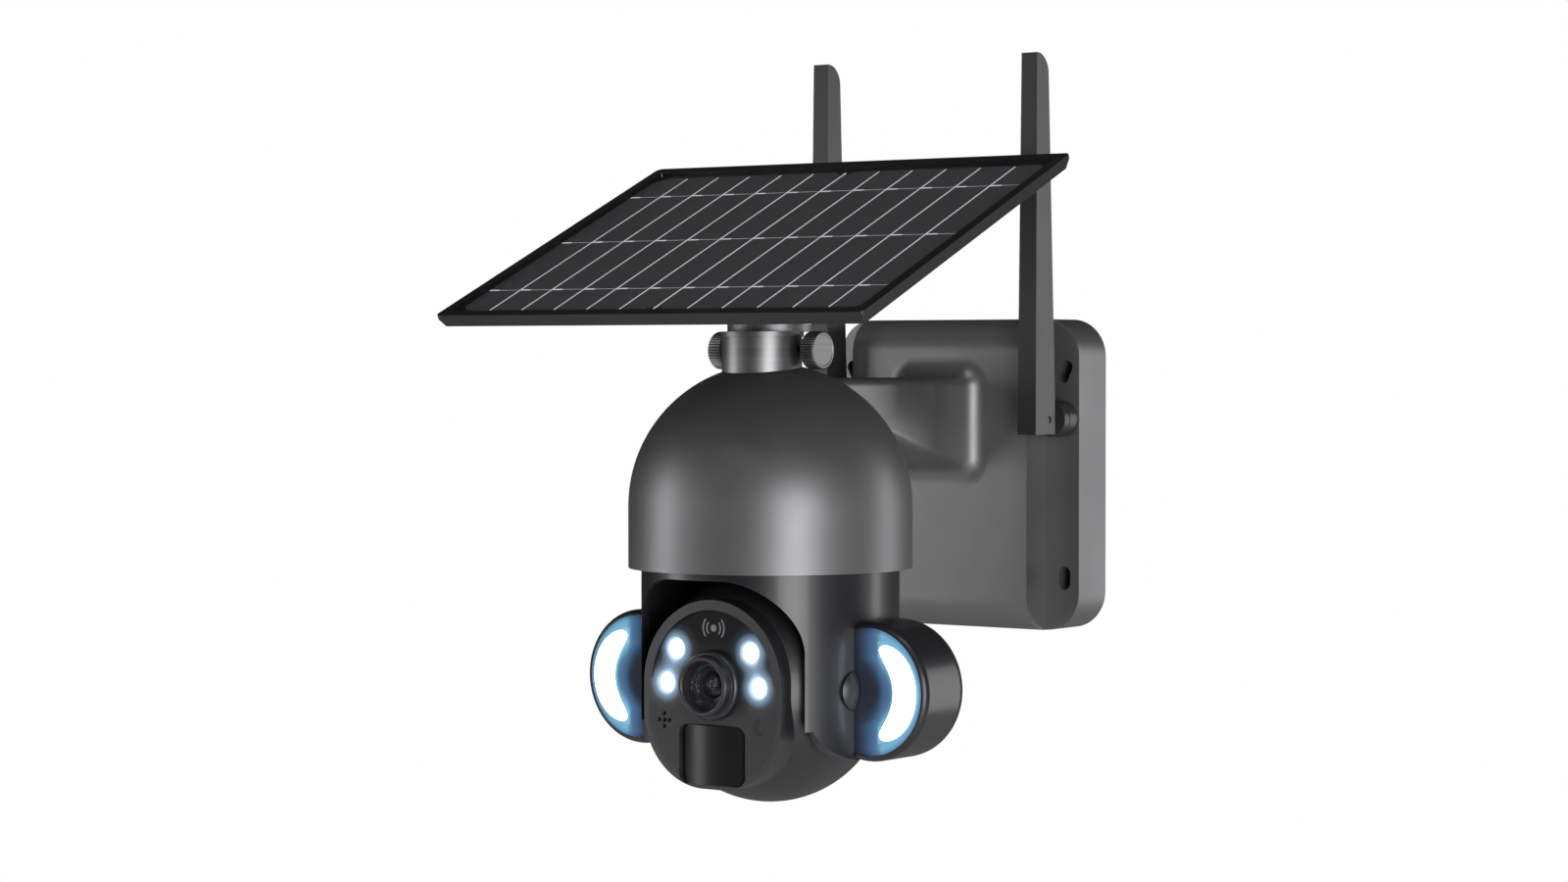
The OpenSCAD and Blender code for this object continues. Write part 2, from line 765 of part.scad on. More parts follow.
module pan_hub() {
    color("gainsboro") at_pan() difference() {
        union() {
            translate([0, 0, pan_top]) cylinder(r = hub_flange_r, h = hub_flange_t);
            translate([0, 0, pan_top]) cylinder(r = hub_r, h = gear_z + gear_t + 1.5 - pan_top);
        }
        translate([0, 0, pan_top - 1]) cylinder(r = hub_bore_r, h = far);
        for (a = [0, 120, 240]) rotate(a) translate([hub_r + 5, 0, pan_top - 1]) {
            cylinder(r = screw_free_r, h = 10);
            translate([0, 0, 1 + hub_flange_t - screw_head_h]) cylinder(r = screw_head_r + fit, h = 10);
        }
    }
}

module pan_gear() {
    color("ivory") at_pan() translate([0, 0, gear_z]) difference() {
        spur(pan_teeth, pan_module, gear_t);
        translate([0, 0, -1]) cylinder(r = hub_r, h = gear_t + 2);
        for (a = [0 : 60 : 300]) rotate(a + 30) translate([20, 0, -1]) cylinder(r = 4, h = gear_t + 2);
    }
}

module hub_screws() {
    color("silver") at_pan() for (a = [0, 120, 240]) rotate(a)
        translate([hub_r + 5, 0, pan_top + hub_flange_t - screw_head_h]) screw(2.8);
}

module cheek_covers() {
    color("#2b2b2e") at_tilt() both_sides() difference() {
        intersection() {
            side_prism(mouth_half, cover_out) cheek_side(pan_wall + fit);
            translate([0, 0, -far + pan_roof - tilt_z - 2 - fit])
                cylinder(r = pan_in - fit, h = far, $fn = 128);
        }
        rod_x(axle_r, 0, far);
        for (y = [-20, 20]) rod_x(screw_free_r, 0, far, y, -12);
    }
}

module cheek_screws() {
    color("silver") at_tilt() both_sides() for (y = [-20, 20])
        translate([cover_out, y, -12]) rotate([0, 90, 0]) screw(cover_t - 0.4, 2.2);
}

module tilt_axles() {
    color("silver") at_tilt() {
        difference() {
            rod_x(axle_r, tilt_gear_out - tilt_gear_t - 1, pan_in - fit);
            rod_x(axle_bore_r, 0, far);
        }
        difference() {
            rod_x(axle_r, -(pan_in - fit), -tilt_gear_out);
            rod_x(axle_bore_r, -far, 0);
        }
    }
}

module tilt_gear() {
    color("ivory") at_tilt() translate([tilt_gear_out - tilt_gear_t, 0, 0]) rotate([0, 90, 0]) difference() {
        rotate(90) spur(tilt_teeth, tilt_module, tilt_gear_t);
        translate([0, 0, -1]) cylinder(r = axle_r, h = tilt_gear_t + 2);
    }
}

module speaker() {
    color("black") at_tilt() translate([0, pan_in - 3.2, 24]) rotate([90, 0, 0]) {
        cylinder(r = 9, h = 0.8);
        translate([0, 0, 0.7]) cylinder(r = 6, h = 2);
    }
}

module side_caps() {
    color("#3a3a3e") at_tilt() both_sides() difference() {
        rotate(cap_angle - 90) translate([pan_r, 0, 1]) rotate([0, 90, 0]) rotate_extrude($fn = 128)
            intersection() {
            translate([0, cap_out - cap_bulge_r]) circle(r = cap_bulge_r, $fn = 128);
            translate([0, 0.8]) square([cap_r, cap_out]);
        }
        body_cylinder(0.05);
        translate([pod_x, 0, pod_z]) pod_solid(-0.1);
    }
}

// ---- Floodlights ----

module pod_solid(inset) {
    r = pod_r - inset;
    rear_r = 8;
    front_r = 3.5;
    rotate([90, 0, 0]) translate([0, 0, -pod_back + inset]) rotate_extrude() {
        square([r - rear_r, pod_len - inset]);
        translate([0, rear_r]) square([r, pod_len - inset - rear_r - front_r]);
        translate([0, pod_len - inset - front_r - 1]) square([r - front_r, front_r + 1]);
        translate([r - front_r, pod_len - inset - front_r]) circle(r = front_r);
        intersection() {
            translate([r - rear_r, rear_r]) circle(r = rear_r);
            square([r, pod_len]);
        }
    }
}

module body_cylinder(grow) {
    translate([0, 0, -far / 2]) cylinder(r = pan_r + grow, h = far, $fn = 128);
}

module floodlight_housing() {
    difference() {
        translate([pod_x, 0, pod_z]) difference() {
            pod_solid(0);
            intersection() {
                pod_solid(pod_wall);
                rod_y(pod_r, pod_front - 4, -far, 0, 0);
            }
            rod_y(pod_window_r - 1.6, pod_front + 1, pod_front - 5, 0, 0);
            rod_y(pod_window_r, pod_front + 1, pod_window_front - pod_window_t, 0, 0);
        }
        body_cylinder(0.05);
    }
}

module floodlight_housing_right() { color("#2b2b2e") at_tilt() floodlight_housing(); }
module floodlight_housing_left() { color("#2b2b2e") at_tilt() mirror([1, 0, 0]) floodlight_housing(); }

module crescent_2d(grow) {
    intersection() {
        difference() {
            translate([crescent_x, 0]) circle(r = crescent_r + grow);
            translate([crescent_cut_x, 0]) circle(r = crescent_cut_r - grow);
        }
        translate([crescent_from - grow, -far / 2]) square(far);
    }
}

module floodlight_windows() {
    color("#3c3c42") at_tilt() both_sides() difference() {
        translate([pod_x, 0, pod_z]) difference() {
            rod_y(pod_window_r - 0.1, pod_window_front, pod_window_front - pod_window_t, 0, 0);
            front_prism(far, 0) crescent_2d(0.1);
        }
        body_cylinder(0.1);
    }
}

module floodlight_diffusers() {
    color("white") at_tilt() both_sides() difference() {
        translate([pod_x, 0, pod_z]) front_prism(pod_window_front + 0.5, pod_window_front - pod_window_t)
            crescent_2d(0);
        body_cylinder(0.1);
    }
}

module floodlight_boards() {
    color("white") at_tilt() both_sides() difference() {
        translate([pod_x, 0, pod_z]) {
            rod_y(pod_r - pod_wall - 1, pod_front - 7, pod_front - 8.6, 0, 0);
            for (a = [-60 : 20 : 60]) rotate([0, -a, 0]) translate([17.5, 0, 0])
                translate([-1.75, -(pod_front - 6), -1.75]) cube([3.5, 1.2, 3.5]);
        }
        body_cylinder(0.3);
    }
}

// ---- Camera ball ----

// Front view of the camera's face, from the tilt axis
module face_2d(inset) {
    top_r = face_half - inset;
    low_r = face_low_r - inset;
    translate([0, face_top_z]) circle(r = top_r);
    translate([-top_r, face_low_z]) square([2 * top_r, face_top_z - face_low_z]);
    for (s = [-1, 1]) translate([s * face_low_x, face_low_z]) circle(r = low_r);
    translate([-face_low_x, face_low_z - low_r]) square([2 * face_low_x, low_r]);
}

module ball_outside() {
    intersection() {
        sphere(r = ball_r, $fn = 128);
        cube([2 * ball_half, far, far], center = true);
    }
    front_prism(hood_front, 12) face_2d(0);
}

module ball_inside() {
    intersection() {
        sphere(r = ball_in, $fn = 128);
        cube([2 * ball_side_in, far, far], center = true);
    }
    front_prism(hood_front - plate_recess - face_plate_t - 2, 8) face_2d(2.2);
}

module card_hatch_2d(grow = 0) { translate([0, 22]) rrect(34 + 2 * grow, 15 + 2 * grow, 5 + grow); }

module ball_shell() {
    difference() {
        union() {
            difference() {
                ball_outside();
                ball_inside();
            }
            intersection() {
                ball_outside();
                for (p = ball_bosses) rod_y(ball_boss_r, far / 2, -far / 2, p[0], p[1]);
            }
        }
        for (p = ball_bosses) {
            rod_y(screw_free_r, 0, -far, p[0], p[1]);
            rod_y(pilot_r, 14, 0, p[0], p[1]);
            rod_y(screw_head_r + fit, -12, -far, p[0], p[1]);
        }
        rod_x(bush_r, -far, far);
    }
}

module ball_front() {
    color("#242427") at_tilt() difference() {
        intersection() {
            ball_shell();
            translate([-far / 2, -far, -far / 2]) cube([far, far, far]);
        }
        front_prism(far, hood_front - plate_recess - face_plate_t) face_2d(plate_inset);
        front_prism(far, 30) face_2d(lip_inset);
        front_prism(far, 30) translate([0, window_z]) rrect(window_w + 0.4, window_h + 0.4, window_corner);
    }
}

module ball_rear() {
    color("#242427") at_tilt() difference() {
        union() {
            intersection() {
                ball_shell();
                translate([-far / 2, 0.02, -far / 2]) cube([far, far, far]);
            }
            for (s = [-1, 1]) rod_x(3, tilt_motor_out, ball_side_in + 0.5, tilt_centres, s * motor_ear_at);
        }
        for (s = [-1, 1]) rod_x(pilot_r, 0, tilt_motor_out + 6, tilt_centres, s * motor_ear_at);
        translate([0, 0, -far]) linear_extrude(far) card_hatch_2d(0.15);
    }
}

module ball_screws() {
    color("silver") at_tilt() {
        for (p = ball_bosses) translate([p[0], 12, p[1]]) rotate([-90, 0, 0]) screw(22);
        for (s = [-1, 1]) translate([tilt_motor_out - 1, tilt_centres, s * motor_ear_at])
            rotate([0, -90, 0]) screw(6);
    }
}

module tilt_bushes() {
    color("ivory") at_tilt() both_sides() difference() {
        rod_x(bush_r, ball_side_in - 1, ball_half + 0.4);
        rod_x(axle_r + slip, 0, far);
    }
}

module face_plate() {
    front = hood_front - plate_recess;
    back = front - face_plate_t / 2;
    slope = (ramp_high - ramp_low) / plate_recess;
    color("#4a4a4e") at_tilt() difference() {
        union() {
            front_prism(front, front - face_plate_t) face_2d(plate_inset + 0.1);
            intersection() {
                front_prism(hood_front, back) face_2d(plate_inset + 0.1);
                side_prism(-far / 2, far / 2) polygon([
                    [-hood_front - 1, -far / 2], [-hood_front - 1, ramp_low], [-hood_front, ramp_low],
                    [-back, ramp_low + slope * (hood_front - back)], [-back, -far / 2]
                ]);
            }
        }
        rod_y(barrel_r + 0.1, far, 0, 0, lens_z);
        for (p = led_at) rod_y(led_r + 0.1, far, 0, p[0], p[1]);
        front_prism(far, 0) translate([0, window_z]) rrect(window_w + 0.2, window_h + 0.2, window_corner);
        for (d = [[0, 0], [2.6, 0], [-2.6, 0], [0, 2.6], [0, -2.6]])
            rod_y(0.9, far, 0, mic_at[0] + d[0], mic_at[1] + d[1]);
        rod_y(light_sensor_r, far, 0, light_sensor_at[0], light_sensor_at[1]);
    }
}

// Turned part about the lens axis: children give radius across and distance forward up
module lens_turn() {
    translate([0, 0, lens_z]) rotate([90, 0, 0]) rotate_extrude() children();
}

module lens_barrel() {
    b = barrel_front;
    color("#1d1d20") at_tilt() lens_turn() polygon([
        [7.2, 24], [barrel_r - 2, 24], [barrel_r, 26], [barrel_r, b - 5.5], [barrel_r - 1, b - 4.5],
        [12.6, b - 4.5], [12.6, b - 0.8], [11.9, b], [lens_glass_r + 0.7, b], [lens_glass_r, b - 1],
        [lens_glass_r, b - 7], [7.2, b - 9]
    ]);
}

module lens_glass() {
    b = barrel_front;
    dome = 15;              // radius of the front glass
    edge = lens_glass_r - 0.1;
    sag = dome - sqrt(pow(dome, 2) - pow(edge, 2));
    color("lightsteelblue") at_tilt() {
        lens_turn() intersection() {
            translate([0, b - 0.6 - dome]) circle(r = dome, $fn = 96);
            translate([0, b - 0.6 - sag - 1.5]) square([edge, 20]);
        }
        lens_turn() translate([0, 28]) square([7.1, 2]);
    }
}

module sensor_board() {
    color("darkgreen") at_tilt() difference() {
        union() {
            front_prism(23.8, 22.2) translate([0, 1]) rrect(54, 42, 3);
            front_prism(22.4, 19) translate([0, lens_z]) square([14, 14], center = true);
        }
        rod_y(3, 25, 23.2, 0, lens_z);
    }
}

module led_lenses() {
    front = hood_front - plate_recess;
    color("white") at_tilt() for (p = led_at) translate([p[0], -front, p[1]]) rotate([90, 0, 0])
        rotate_extrude()
        intersection() {
            translate([0, -5.5]) square([led_r, 8]);
            translate([0, -6.6]) circle(r = 8);
        }
}

module motion_window() {
    front = hood_front - plate_recess;
    bulge_r = 34;
    color("#5a5a60") at_tilt() difference() {
        intersection() {
            front_prism(front + 4, front - 3) translate([0, window_z])
                rrect(window_w, window_h, window_corner);
            translate([0, -(front + 3.2) + bulge_r, -far / 2]) cylinder(r = bulge_r, h = far, $fn = 128);
        }
        front_prism(front - 1.2, 0) translate([0, window_z])
            rrect(window_w - 3, window_h - 3, window_corner - 1.5);
    }
}

module motion_sensor() {
    color("silver") at_tilt() {
        rod_y(4.6, hood_front - 8, hood_front - 12, 0, window_z);
        front_prism(hood_front - 12, hood_front - 13.5) translate([0, window_z])
            square([14, 10], center = true);
    }
}

module tilt_motor() {
    color("silver") at_tilt() translate([tilt_motor_out, tilt_centres, 0]) rotate([0, -90, 0]) rotate(90)
        motor();
}

module tilt_pinion() {
    color("ivory") at_tilt() translate([tilt_gear_out - tilt_gear_t, tilt_centres, 0]) rotate([0, 90, 0])
        union() {
        rotate(90 + 180 / tilt_pinion_teeth) spur(tilt_pinion_teeth, tilt_module, tilt_gear_t);
        translate([0, 0, -8]) cylinder(r = shaft_r, h = 8.1);
    }
}

module card_cover() {
    color("#1d1d20") at_tilt() difference() {
        intersection() {
            sphere(r = ball_r, $fn = 128);
            translate([0, 0, -far]) linear_extrude(far) card_hatch_2d();
        }
        sphere(r = ball_in, $fn = 128);
        for (s = [-1, 1]) translate([s * 12, 22, -far]) cylinder(r = 1, h = far);
    }
}

// ---- Neck and panel ----

module neck_sleeve() {
    color("silver") at_pan() difference() {
        translate([0, -neck_lead, 0]) {
            translate([0, 0, dome_top - 12]) cylinder(r = neck_r, h = neck_top - dome_top + 12);
            translate([0, 0, neck_top - 0.1]) cylinder(r = neck_ring_r, h = ring_t + 0.1);
        }
        dome_solid(dome_r + gap, rim_z);
        cylinder(r = post_r + slip, h = post_top + 0.3);
        rod_x(thumb_r + slip, -far, far, 0, thumb_z);
    }
}

module panel_fork() {
    base = neck_top + ring_t;
    color("#2b2b2e") at_pan() difference() {
        union() {
            translate([0, 0, base]) cylinder(r = fork_r, h = fork_t);
            both_sides() side_prism(lug_half + gap, lug_half + gap + ear_t) {
                translate([-ear_r, base]) square([2 * ear_r, hinge_z - base]);
                translate([0, hinge_z]) circle(r = ear_r);
            }
        }
        rod_x(hinge_pin_d / 2, -far, far, 0, hinge_z);
    }
}

module hinge_pin() {
    head = lug_half + gap + ear_t;
    color("silver") at_pan() {
        rod_x(hinge_pin_d / 2, -head - 1, head + 1, 0, hinge_z);
        both_sides() rod_x(hinge_pin_d / 2 + 2, head, head + 2, 0, hinge_z);
    }
}

module thumb_screw() {
    head_in = thumb_span / 2 - thumb_t;
    color("silver") at_pan() translate([0, 0, thumb_z]) {
        rod_x(thumb_r, post_r - groove_depth + 0.4, head_in + 0.1);
        rod_x(thumb_r + 2.6, head_in - 2.2, head_in + 0.1);
        translate([head_in, 0, 0]) rotate([90, 0, 90]) linear_extrude(thumb_t) difference() {
            circle(d = thumb_d);
            for (a = [0 : 12 : 348]) rotate(a) translate([thumb_d / 2 + 0.25, 0]) circle(r = 0.6, $fn = 16);
        }
    }
}

module thumb_screw_right() { thumb_screw(); }
module thumb_screw_left() { mirror([1, 0, 0]) thumb_screw(); }

// Side view of the panel's frame, which narrows downwards
module tapered_2d(half) {
    low = half - frame_draft;
    polygon([[-half, panel_high], [half, panel_high], [low, panel_low], [-low, panel_low]]);
}

module panel_frame() {
    w = panel_w / 2;
    d = panel_d / 2;
    color("#161618") at_panel() translate([0, -hinge_back, 0]) difference() {
        intersection() {
            translate([0, 0, panel_low]) linear_extrude(panel_t) rrect(panel_w, panel_d, 3);
            side_prism(-w, w) tapered_2d(d);
            front_prism(d, -d) tapered_2d(w);
        }
        translate([0, 0, cell_low]) linear_extrude(panel_t) rrect(pocket_w, pocket_d, 1);
        for (sx = [-1, 1], sy = [-1, 1])
            translate([sx * (pocket_w / 4 + 10), sy * (pocket_d / 4 + 8), panel_low - 1])
                linear_extrude(cell_low - panel_low - 1.2 + 1) rrect(pocket_w / 2 - 28, pocket_d / 2 - 22, 3);
    }
}

module solar_cells() {
    color("#222226") at_panel() translate([0, -hinge_back, cell_low]) for (k = [0 : strips - 1])
        translate([(k - (strips - 1) / 2) * (strip_w + strip_gap) - strip_w / 2, -pocket_d / 2 + 0.5, 0])
            cube([strip_w, pocket_d - 1, cell_t]);
}

module panel_glass() {
    color("#9fb0c0", 0.4) at_panel() translate([0, -hinge_back, cell_low + cell_t])
        linear_extrude(glass_t) rrect(pocket_w - 0.2, pocket_d - 0.2, 0.9);
}

module junction_box() {
    color("#161618") at_panel() translate([0, 38, panel_low - 9]) difference() {
        linear_extrude(9) rrect(46, 30, 4);
        translate([0, 0, 1.6]) linear_extrude(8) rrect(42, 26, 2.5);
        translate([0, -far / 2, 4.5]) rotate([-90, 0, 0]) cylinder(r = 2.2, h = far / 2);
    }
}

module panel_lug() {
    color("#2b2b2e") at_panel() difference() {
        union() {
            translate([0, -2, panel_low - lug_plate_t]) linear_extrude(lug_plate_t) rrect(56, 44, 5);
            side_prism(-lug_half, lug_half) {
                circle(r = lug_r);
                translate([-lug_r, 0]) square([2 * lug_r, panel_low - 1]);
            }
        }
        rod_x(hinge_pin_d / 2 + slip, -far, far);
        for (sx = [-1, 1], sy = [-1, 1]) translate([sx * 22, -2 + sy * 16, 0])
            cylinder(r = screw_free_r, h = panel_low + 1);
    }
}

// ---- Antennas ----

module antenna_socket() {
    difference() {
        union() {
            rod_y(socket_d / 2, socket_front, slab_d, antenna_x, antenna_z);
            rod_y(antenna_stem_r, knuckle_front - 1.2, slab_d - case_wall - 4, antenna_x, antenna_z);
        }
        rod_y(1.2, far, 0, antenna_x, antenna_z);
    }
    difference() {
        rod_y(5, slab_d - case_wall, slab_d - case_wall - 2.4, antenna_x, antenna_z, $fn = 6);
        rod_y(antenna_stem_r, far, 0, antenna_x, antenna_z);
    }
}

module antenna_sockets() { color("#2b2b2e") both_sides() antenna_socket(); }

module antenna_knuckle() {
    color("#101012") difference() {
        union() {
            rod_y(socket_d / 2 - 0.3, knuckle_front, knuckle_front - knuckle_t, antenna_x, antenna_z);
            translate([antenna_x, 0, 0]) side_prism(-tongue_half, tongue_half) {
                translate([-antenna_fold_y, antenna_z - 4.6])
                    square([antenna_fold_y - knuckle_front + 0.1, 9.2]);
                translate([-antenna_fold_y, antenna_z]) circle(r = 4.6);
            }
            rod_x(fold_pin_r, antenna_x - blade_w / 2 + 0.6, antenna_x + blade_w / 2 - 0.6,
                -antenna_fold_y, antenna_z);
        }
        rod_y(antenna_stem_r + slip, knuckle_front - 0.8, 0, antenna_x, antenna_z);
    }
}

module antenna_knuckle_right() { antenna_knuckle(); }
module antenna_knuckle_left() { mirror([1, 0, 0]) antenna_knuckle(); }

module antenna_blade() {
    back = blade_front - blade_d;
    top_r = 9;
    tip_back = blade_front - 11.5;
    tip_front = blade_front - 1.8;
    color("#1b1b1e") difference() {
        intersection() {
            translate([antenna_x, 0, 0]) side_prism(-blade_w, blade_w) {
                polygon([[-blade_front, blade_foot_z], [-back, blade_foot_z], [-back, antenna_z + 12],
                         [-tip_back, antenna_tip_z - top_r], [-tip_back - top_r, antenna_tip_z],
                         [-tip_front, antenna_tip_z]]);
                translate([-tip_back - top_r, antenna_tip_z - top_r]) intersection() {
                    circle(r = top_r);
                    square(top_r);
                }
            }
            translate([antenna_x, 0, 0]) front_prism(far, 0) polygon([
                [-blade_w / 2, blade_foot_z], [blade_w / 2, blade_foot_z],
                [blade_w / 2 - blade_taper, antenna_tip_z], [-blade_w / 2 + blade_taper, antenna_tip_z]
            ]);
        }
        translate([antenna_x - tongue_half - 0.3, -antenna_fold_y - 5.2, blade_foot_z - 1])
            cube([2 * tongue_half + 0.6, far, antenna_z - blade_foot_z + 1 + 11]);
        rod_x(fold_pin_r + slip, antenna_x - blade_w, antenna_x + blade_w, -antenna_fold_y, antenna_z);
    }
}

module antenna_blade_right() { antenna_blade(); }
module antenna_blade_left() { mirror([1, 0, 0]) antenna_blade(); }

back_plate();
case_shell();
case_seal();
case_screws();
battery_cells();
battery_tray();
charge_board();
arm();
arm_screws();
dome_cover();
deck();
dome_screws();
main_board();
pan_motor();
pan_pinion();
pan_bush();
pan_body();
pan_hub();
pan_gear();
hub_screws();
cheek_covers();
cheek_screws();
tilt_axles();
tilt_gear();
speaker();
floodlight_housing_left();
floodlight_housing_right();
floodlight_windows();
floodlight_diffusers();
floodlight_boards();
side_caps();
ball_front();
ball_rear();
ball_screws();
tilt_bushes();
face_plate();
lens_barrel();
lens_glass();
sensor_board();
led_lenses();
motion_window();
motion_sensor();
tilt_motor();
tilt_pinion();
card_cover();
neck_sleeve();
panel_fork();
hinge_pin();
thumb_screw_left();
thumb_screw_right();
panel_frame();
solar_cells();
panel_glass();
junction_box();
panel_lug();
antenna_sockets();
antenna_knuckle_left();
antenna_knuckle_right();
antenna_blade_left();
antenna_blade_right();
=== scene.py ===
"""Solar pan-and-tilt security camera: the look of the CAD frame.

Metres, in the CAD's frame: X goes right, Y goes into the wall and Z goes up.
"""
import json
import math

import bmesh
import bpy
from mathutils import Matrix, Vector


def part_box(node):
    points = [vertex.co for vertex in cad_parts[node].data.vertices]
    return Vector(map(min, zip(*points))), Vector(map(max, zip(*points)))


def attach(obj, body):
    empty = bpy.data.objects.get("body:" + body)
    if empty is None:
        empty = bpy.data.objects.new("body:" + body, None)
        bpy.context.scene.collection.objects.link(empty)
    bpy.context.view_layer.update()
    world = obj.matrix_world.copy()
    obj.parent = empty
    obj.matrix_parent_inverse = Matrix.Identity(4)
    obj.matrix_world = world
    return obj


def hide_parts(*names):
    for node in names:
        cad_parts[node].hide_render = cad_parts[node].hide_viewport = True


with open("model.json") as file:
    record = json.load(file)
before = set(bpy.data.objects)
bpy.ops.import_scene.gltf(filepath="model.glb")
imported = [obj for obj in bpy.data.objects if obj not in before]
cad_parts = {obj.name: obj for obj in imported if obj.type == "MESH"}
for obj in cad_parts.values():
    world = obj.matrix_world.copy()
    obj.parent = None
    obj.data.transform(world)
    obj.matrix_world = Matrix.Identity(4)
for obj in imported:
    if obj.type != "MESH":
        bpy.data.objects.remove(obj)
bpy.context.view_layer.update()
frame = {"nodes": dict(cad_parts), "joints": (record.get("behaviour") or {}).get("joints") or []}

MM = 0.001
NODES = frame["nodes"]
JOINT = {j["name"]: Vector(j["pos_m"]) for j in frame["joints"]}
PAN_AXIS = Vector((0, JOINT["pan"].y, 0))
TILT_CENTRE = JOINT["tilt"]


# ---- Material helpers ----

class Graph:
    """A material's node tree with short calls to add and link nodes."""

    def __init__(self, name):
        self.material = bpy.data.materials.new(name)
        self.material.use_nodes = True
        self.tree = self.material.node_tree
        self.shader = self.tree.nodes["Principled BSDF"]
        self.place = self.add("ShaderNodeTexCoord").outputs["Object"]

    def add(self, kind, **settings):
        node = self.tree.nodes.new(kind)
        for key, value in settings.items():
            setattr(node, key, value)
        return node

    def link(self, source, target):
        self.tree.links.new(source, target)

    def set(self, **values):
        """Sets the shader's sockets; a word's underscores stand for spaces."""
        for key, value in values.items():
            self.shader.inputs[key.replace("_", " ")].default_value = value

    def noise(self, scale, detail=3.0, stretch=None):
        """Noise from 0 to 1, scale in cells a metre; stretch scales each axis first."""
        node = self.add("ShaderNodeTexNoise")
        node.inputs["Scale"].default_value = scale
        node.inputs["Detail"].default_value = detail
        source = self.place
        if stretch:
            mapping = self.add("ShaderNodeMapping")
            mapping.inputs["Scale"].default_value = stretch
            self.link(source, mapping.inputs["Vector"])
            source = mapping.outputs["Vector"]
        self.link(source, node.inputs["Vector"])
        return node.outputs["Fac"]

    def ramp(self, factor, *stops):
        """A colour ramp; each stop is (position, (r, g, b))."""
        node = self.add("ShaderNodeValToRGB")
        elements = node.color_ramp.elements
        while len(elements) < len(stops):
            elements.new(0.5)
        for element, (position, colour) in zip(elements, stops):
            element.position = position
            element.color = (*colour, 1)
        self.link(factor, node.inputs["Fac"])
        return node.outputs["Color"]

    def span(self, factor, low, high, source=(0.0, 1.0)):
        """Maps source's range to low..high."""
        node = self.add("ShaderNodeMapRange")
        for socket, value in zip(("From Min", "From Max", "To Min", "To Max"), (*source, low, high)):
            node.inputs[socket].default_value = value
        self.link(factor, node.inputs["Value"])
        return node.outputs["Result"]

    def math(self, operation, first, second=None):
        """A Math node on sockets or numbers."""
        node = self.add("ShaderNodeMath", operation=operation)
        for socket, value in zip(node.inputs, (first, second)):
            if value is None:
                continue
            if isinstance(value, (int, float)):
                socket.default_value = value
            else:
                self.link(value, socket)
        return node.outputs[0]

    def xyz(self):
        """The object coordinates' three sockets."""
        node = self.add("ShaderNodeSeparateXYZ")
        self.link(self.place, node.inputs[0])
        return node.outputs

    def mix(self, factor, first, second):
        """A colour mix; first and second are colours or sockets."""
        node = self.add("ShaderNodeMix", data_type="RGBA")
        self.link(factor, node.inputs["Factor"])
        first_colour, second_colour = node.inputs[6], node.inputs[7]
        for socket, value in ((first_colour, first), (second_colour, second)):
            if isinstance(value, tuple):
                socket.default_value = (*value, 1)
            else:
                self.link(value, socket)
        return node.outputs[2]

    def bump(self, height, strength, distance):
        """Gives the shader a bumpy normal from a height socket."""
        node = self.add("ShaderNodeBump")
        node.inputs["Strength"].default_value = strength
        node.inputs["Distance"].default_value = distance
        self.link(height, node.inputs["Height"])
        self.link(node.outputs["Normal"], self.shader.inputs["Normal"])


def moulded(name, dark, light, rough, metallic=0.0, grain=2600, grain_depth=0.02 * MM, coat=0.0, shine=0.5):
    """Moulded or painted skin: slow colour drift, uneven gloss and a fine grain in height."""
    g = Graph(name)
    g.set(Metallic=metallic, Coat_Weight=coat, Coat_Roughness=0.12, Specular_IOR_Level=shine)
    g.link(g.ramp(g.noise(14, 5), (0.35, dark), (0.65, light)), g.shader.inputs["Base Color"])
    g.link(g.span(g.noise(45, 4), rough - 0.04, rough + 0.05), g.shader.inputs["Roughness"])
    g.bump(g.noise(grain, 2), 0.35, grain_depth)
    return g.material


def brushed(name, dark, light, rough, stretch):
    """Metal with fine brush marks; stretch is small along the marks."""
    g = Graph(name)
    g.set(Metallic=1.0)
    marks = g.noise(700, 3, stretch)
    g.link(g.ramp(marks, (0.3, dark), (0.7, light)), g.shader.inputs["Base Color"])
    g.link(g.span(marks, rough - 0.06, rough + 0.08), g.shader.inputs["Roughness"])
    g.bump(marks, 0.15, 0.03 * MM)
    return g.material


def circuit_board(name):
    """Green board with a faint pattern of tracks."""
    g = Graph(name)
    tracks = g.add("ShaderNodeTexBrick", offset=0.5)
    tracks.inputs["Scale"].default_value = 220
    tracks.inputs["Mortar Size"].default_value = 0.06
    g.link(g.place, tracks.inputs["Vector"])
    mask = tracks.outputs["Fac"]
    g.link(g.mix(mask, (0.012, 0.085, 0.035), (0.03, 0.17, 0.07)), g.shader.inputs["Base Color"])
    g.link(g.span(mask, 0.35, 0.5), g.shader.inputs["Roughness"])
    g.bump(mask, 0.2, 0.04 * MM)
    return g.material


def cell_skin():
    """A strip of solar cell: near-black blue-grey silicon with fine silver fingers along the strip."""
    g = Graph("solar_cell")
    pitch = 1.25 * MM
    across = g.math("FRACT", g.math("DIVIDE", g.xyz()[0], pitch))
    finger = g.math("LESS_THAN", g.math("ABSOLUTE", g.math("SUBTRACT", across, 0.5)), 0.14)
    silicon = g.ramp(g.noise(60, 4), (0.3, (0.005, 0.005, 0.007)), (0.7, (0.011, 0.011, 0.013)))
    g.link(g.mix(finger, silicon, (0.20, 0.20, 0.21)), g.shader.inputs["Base Color"])
    g.link(g.span(finger, 0.30, 0.42), g.shader.inputs["Roughness"])
    g.bump(finger, 0.3, 0.02 * MM)
    return g.material


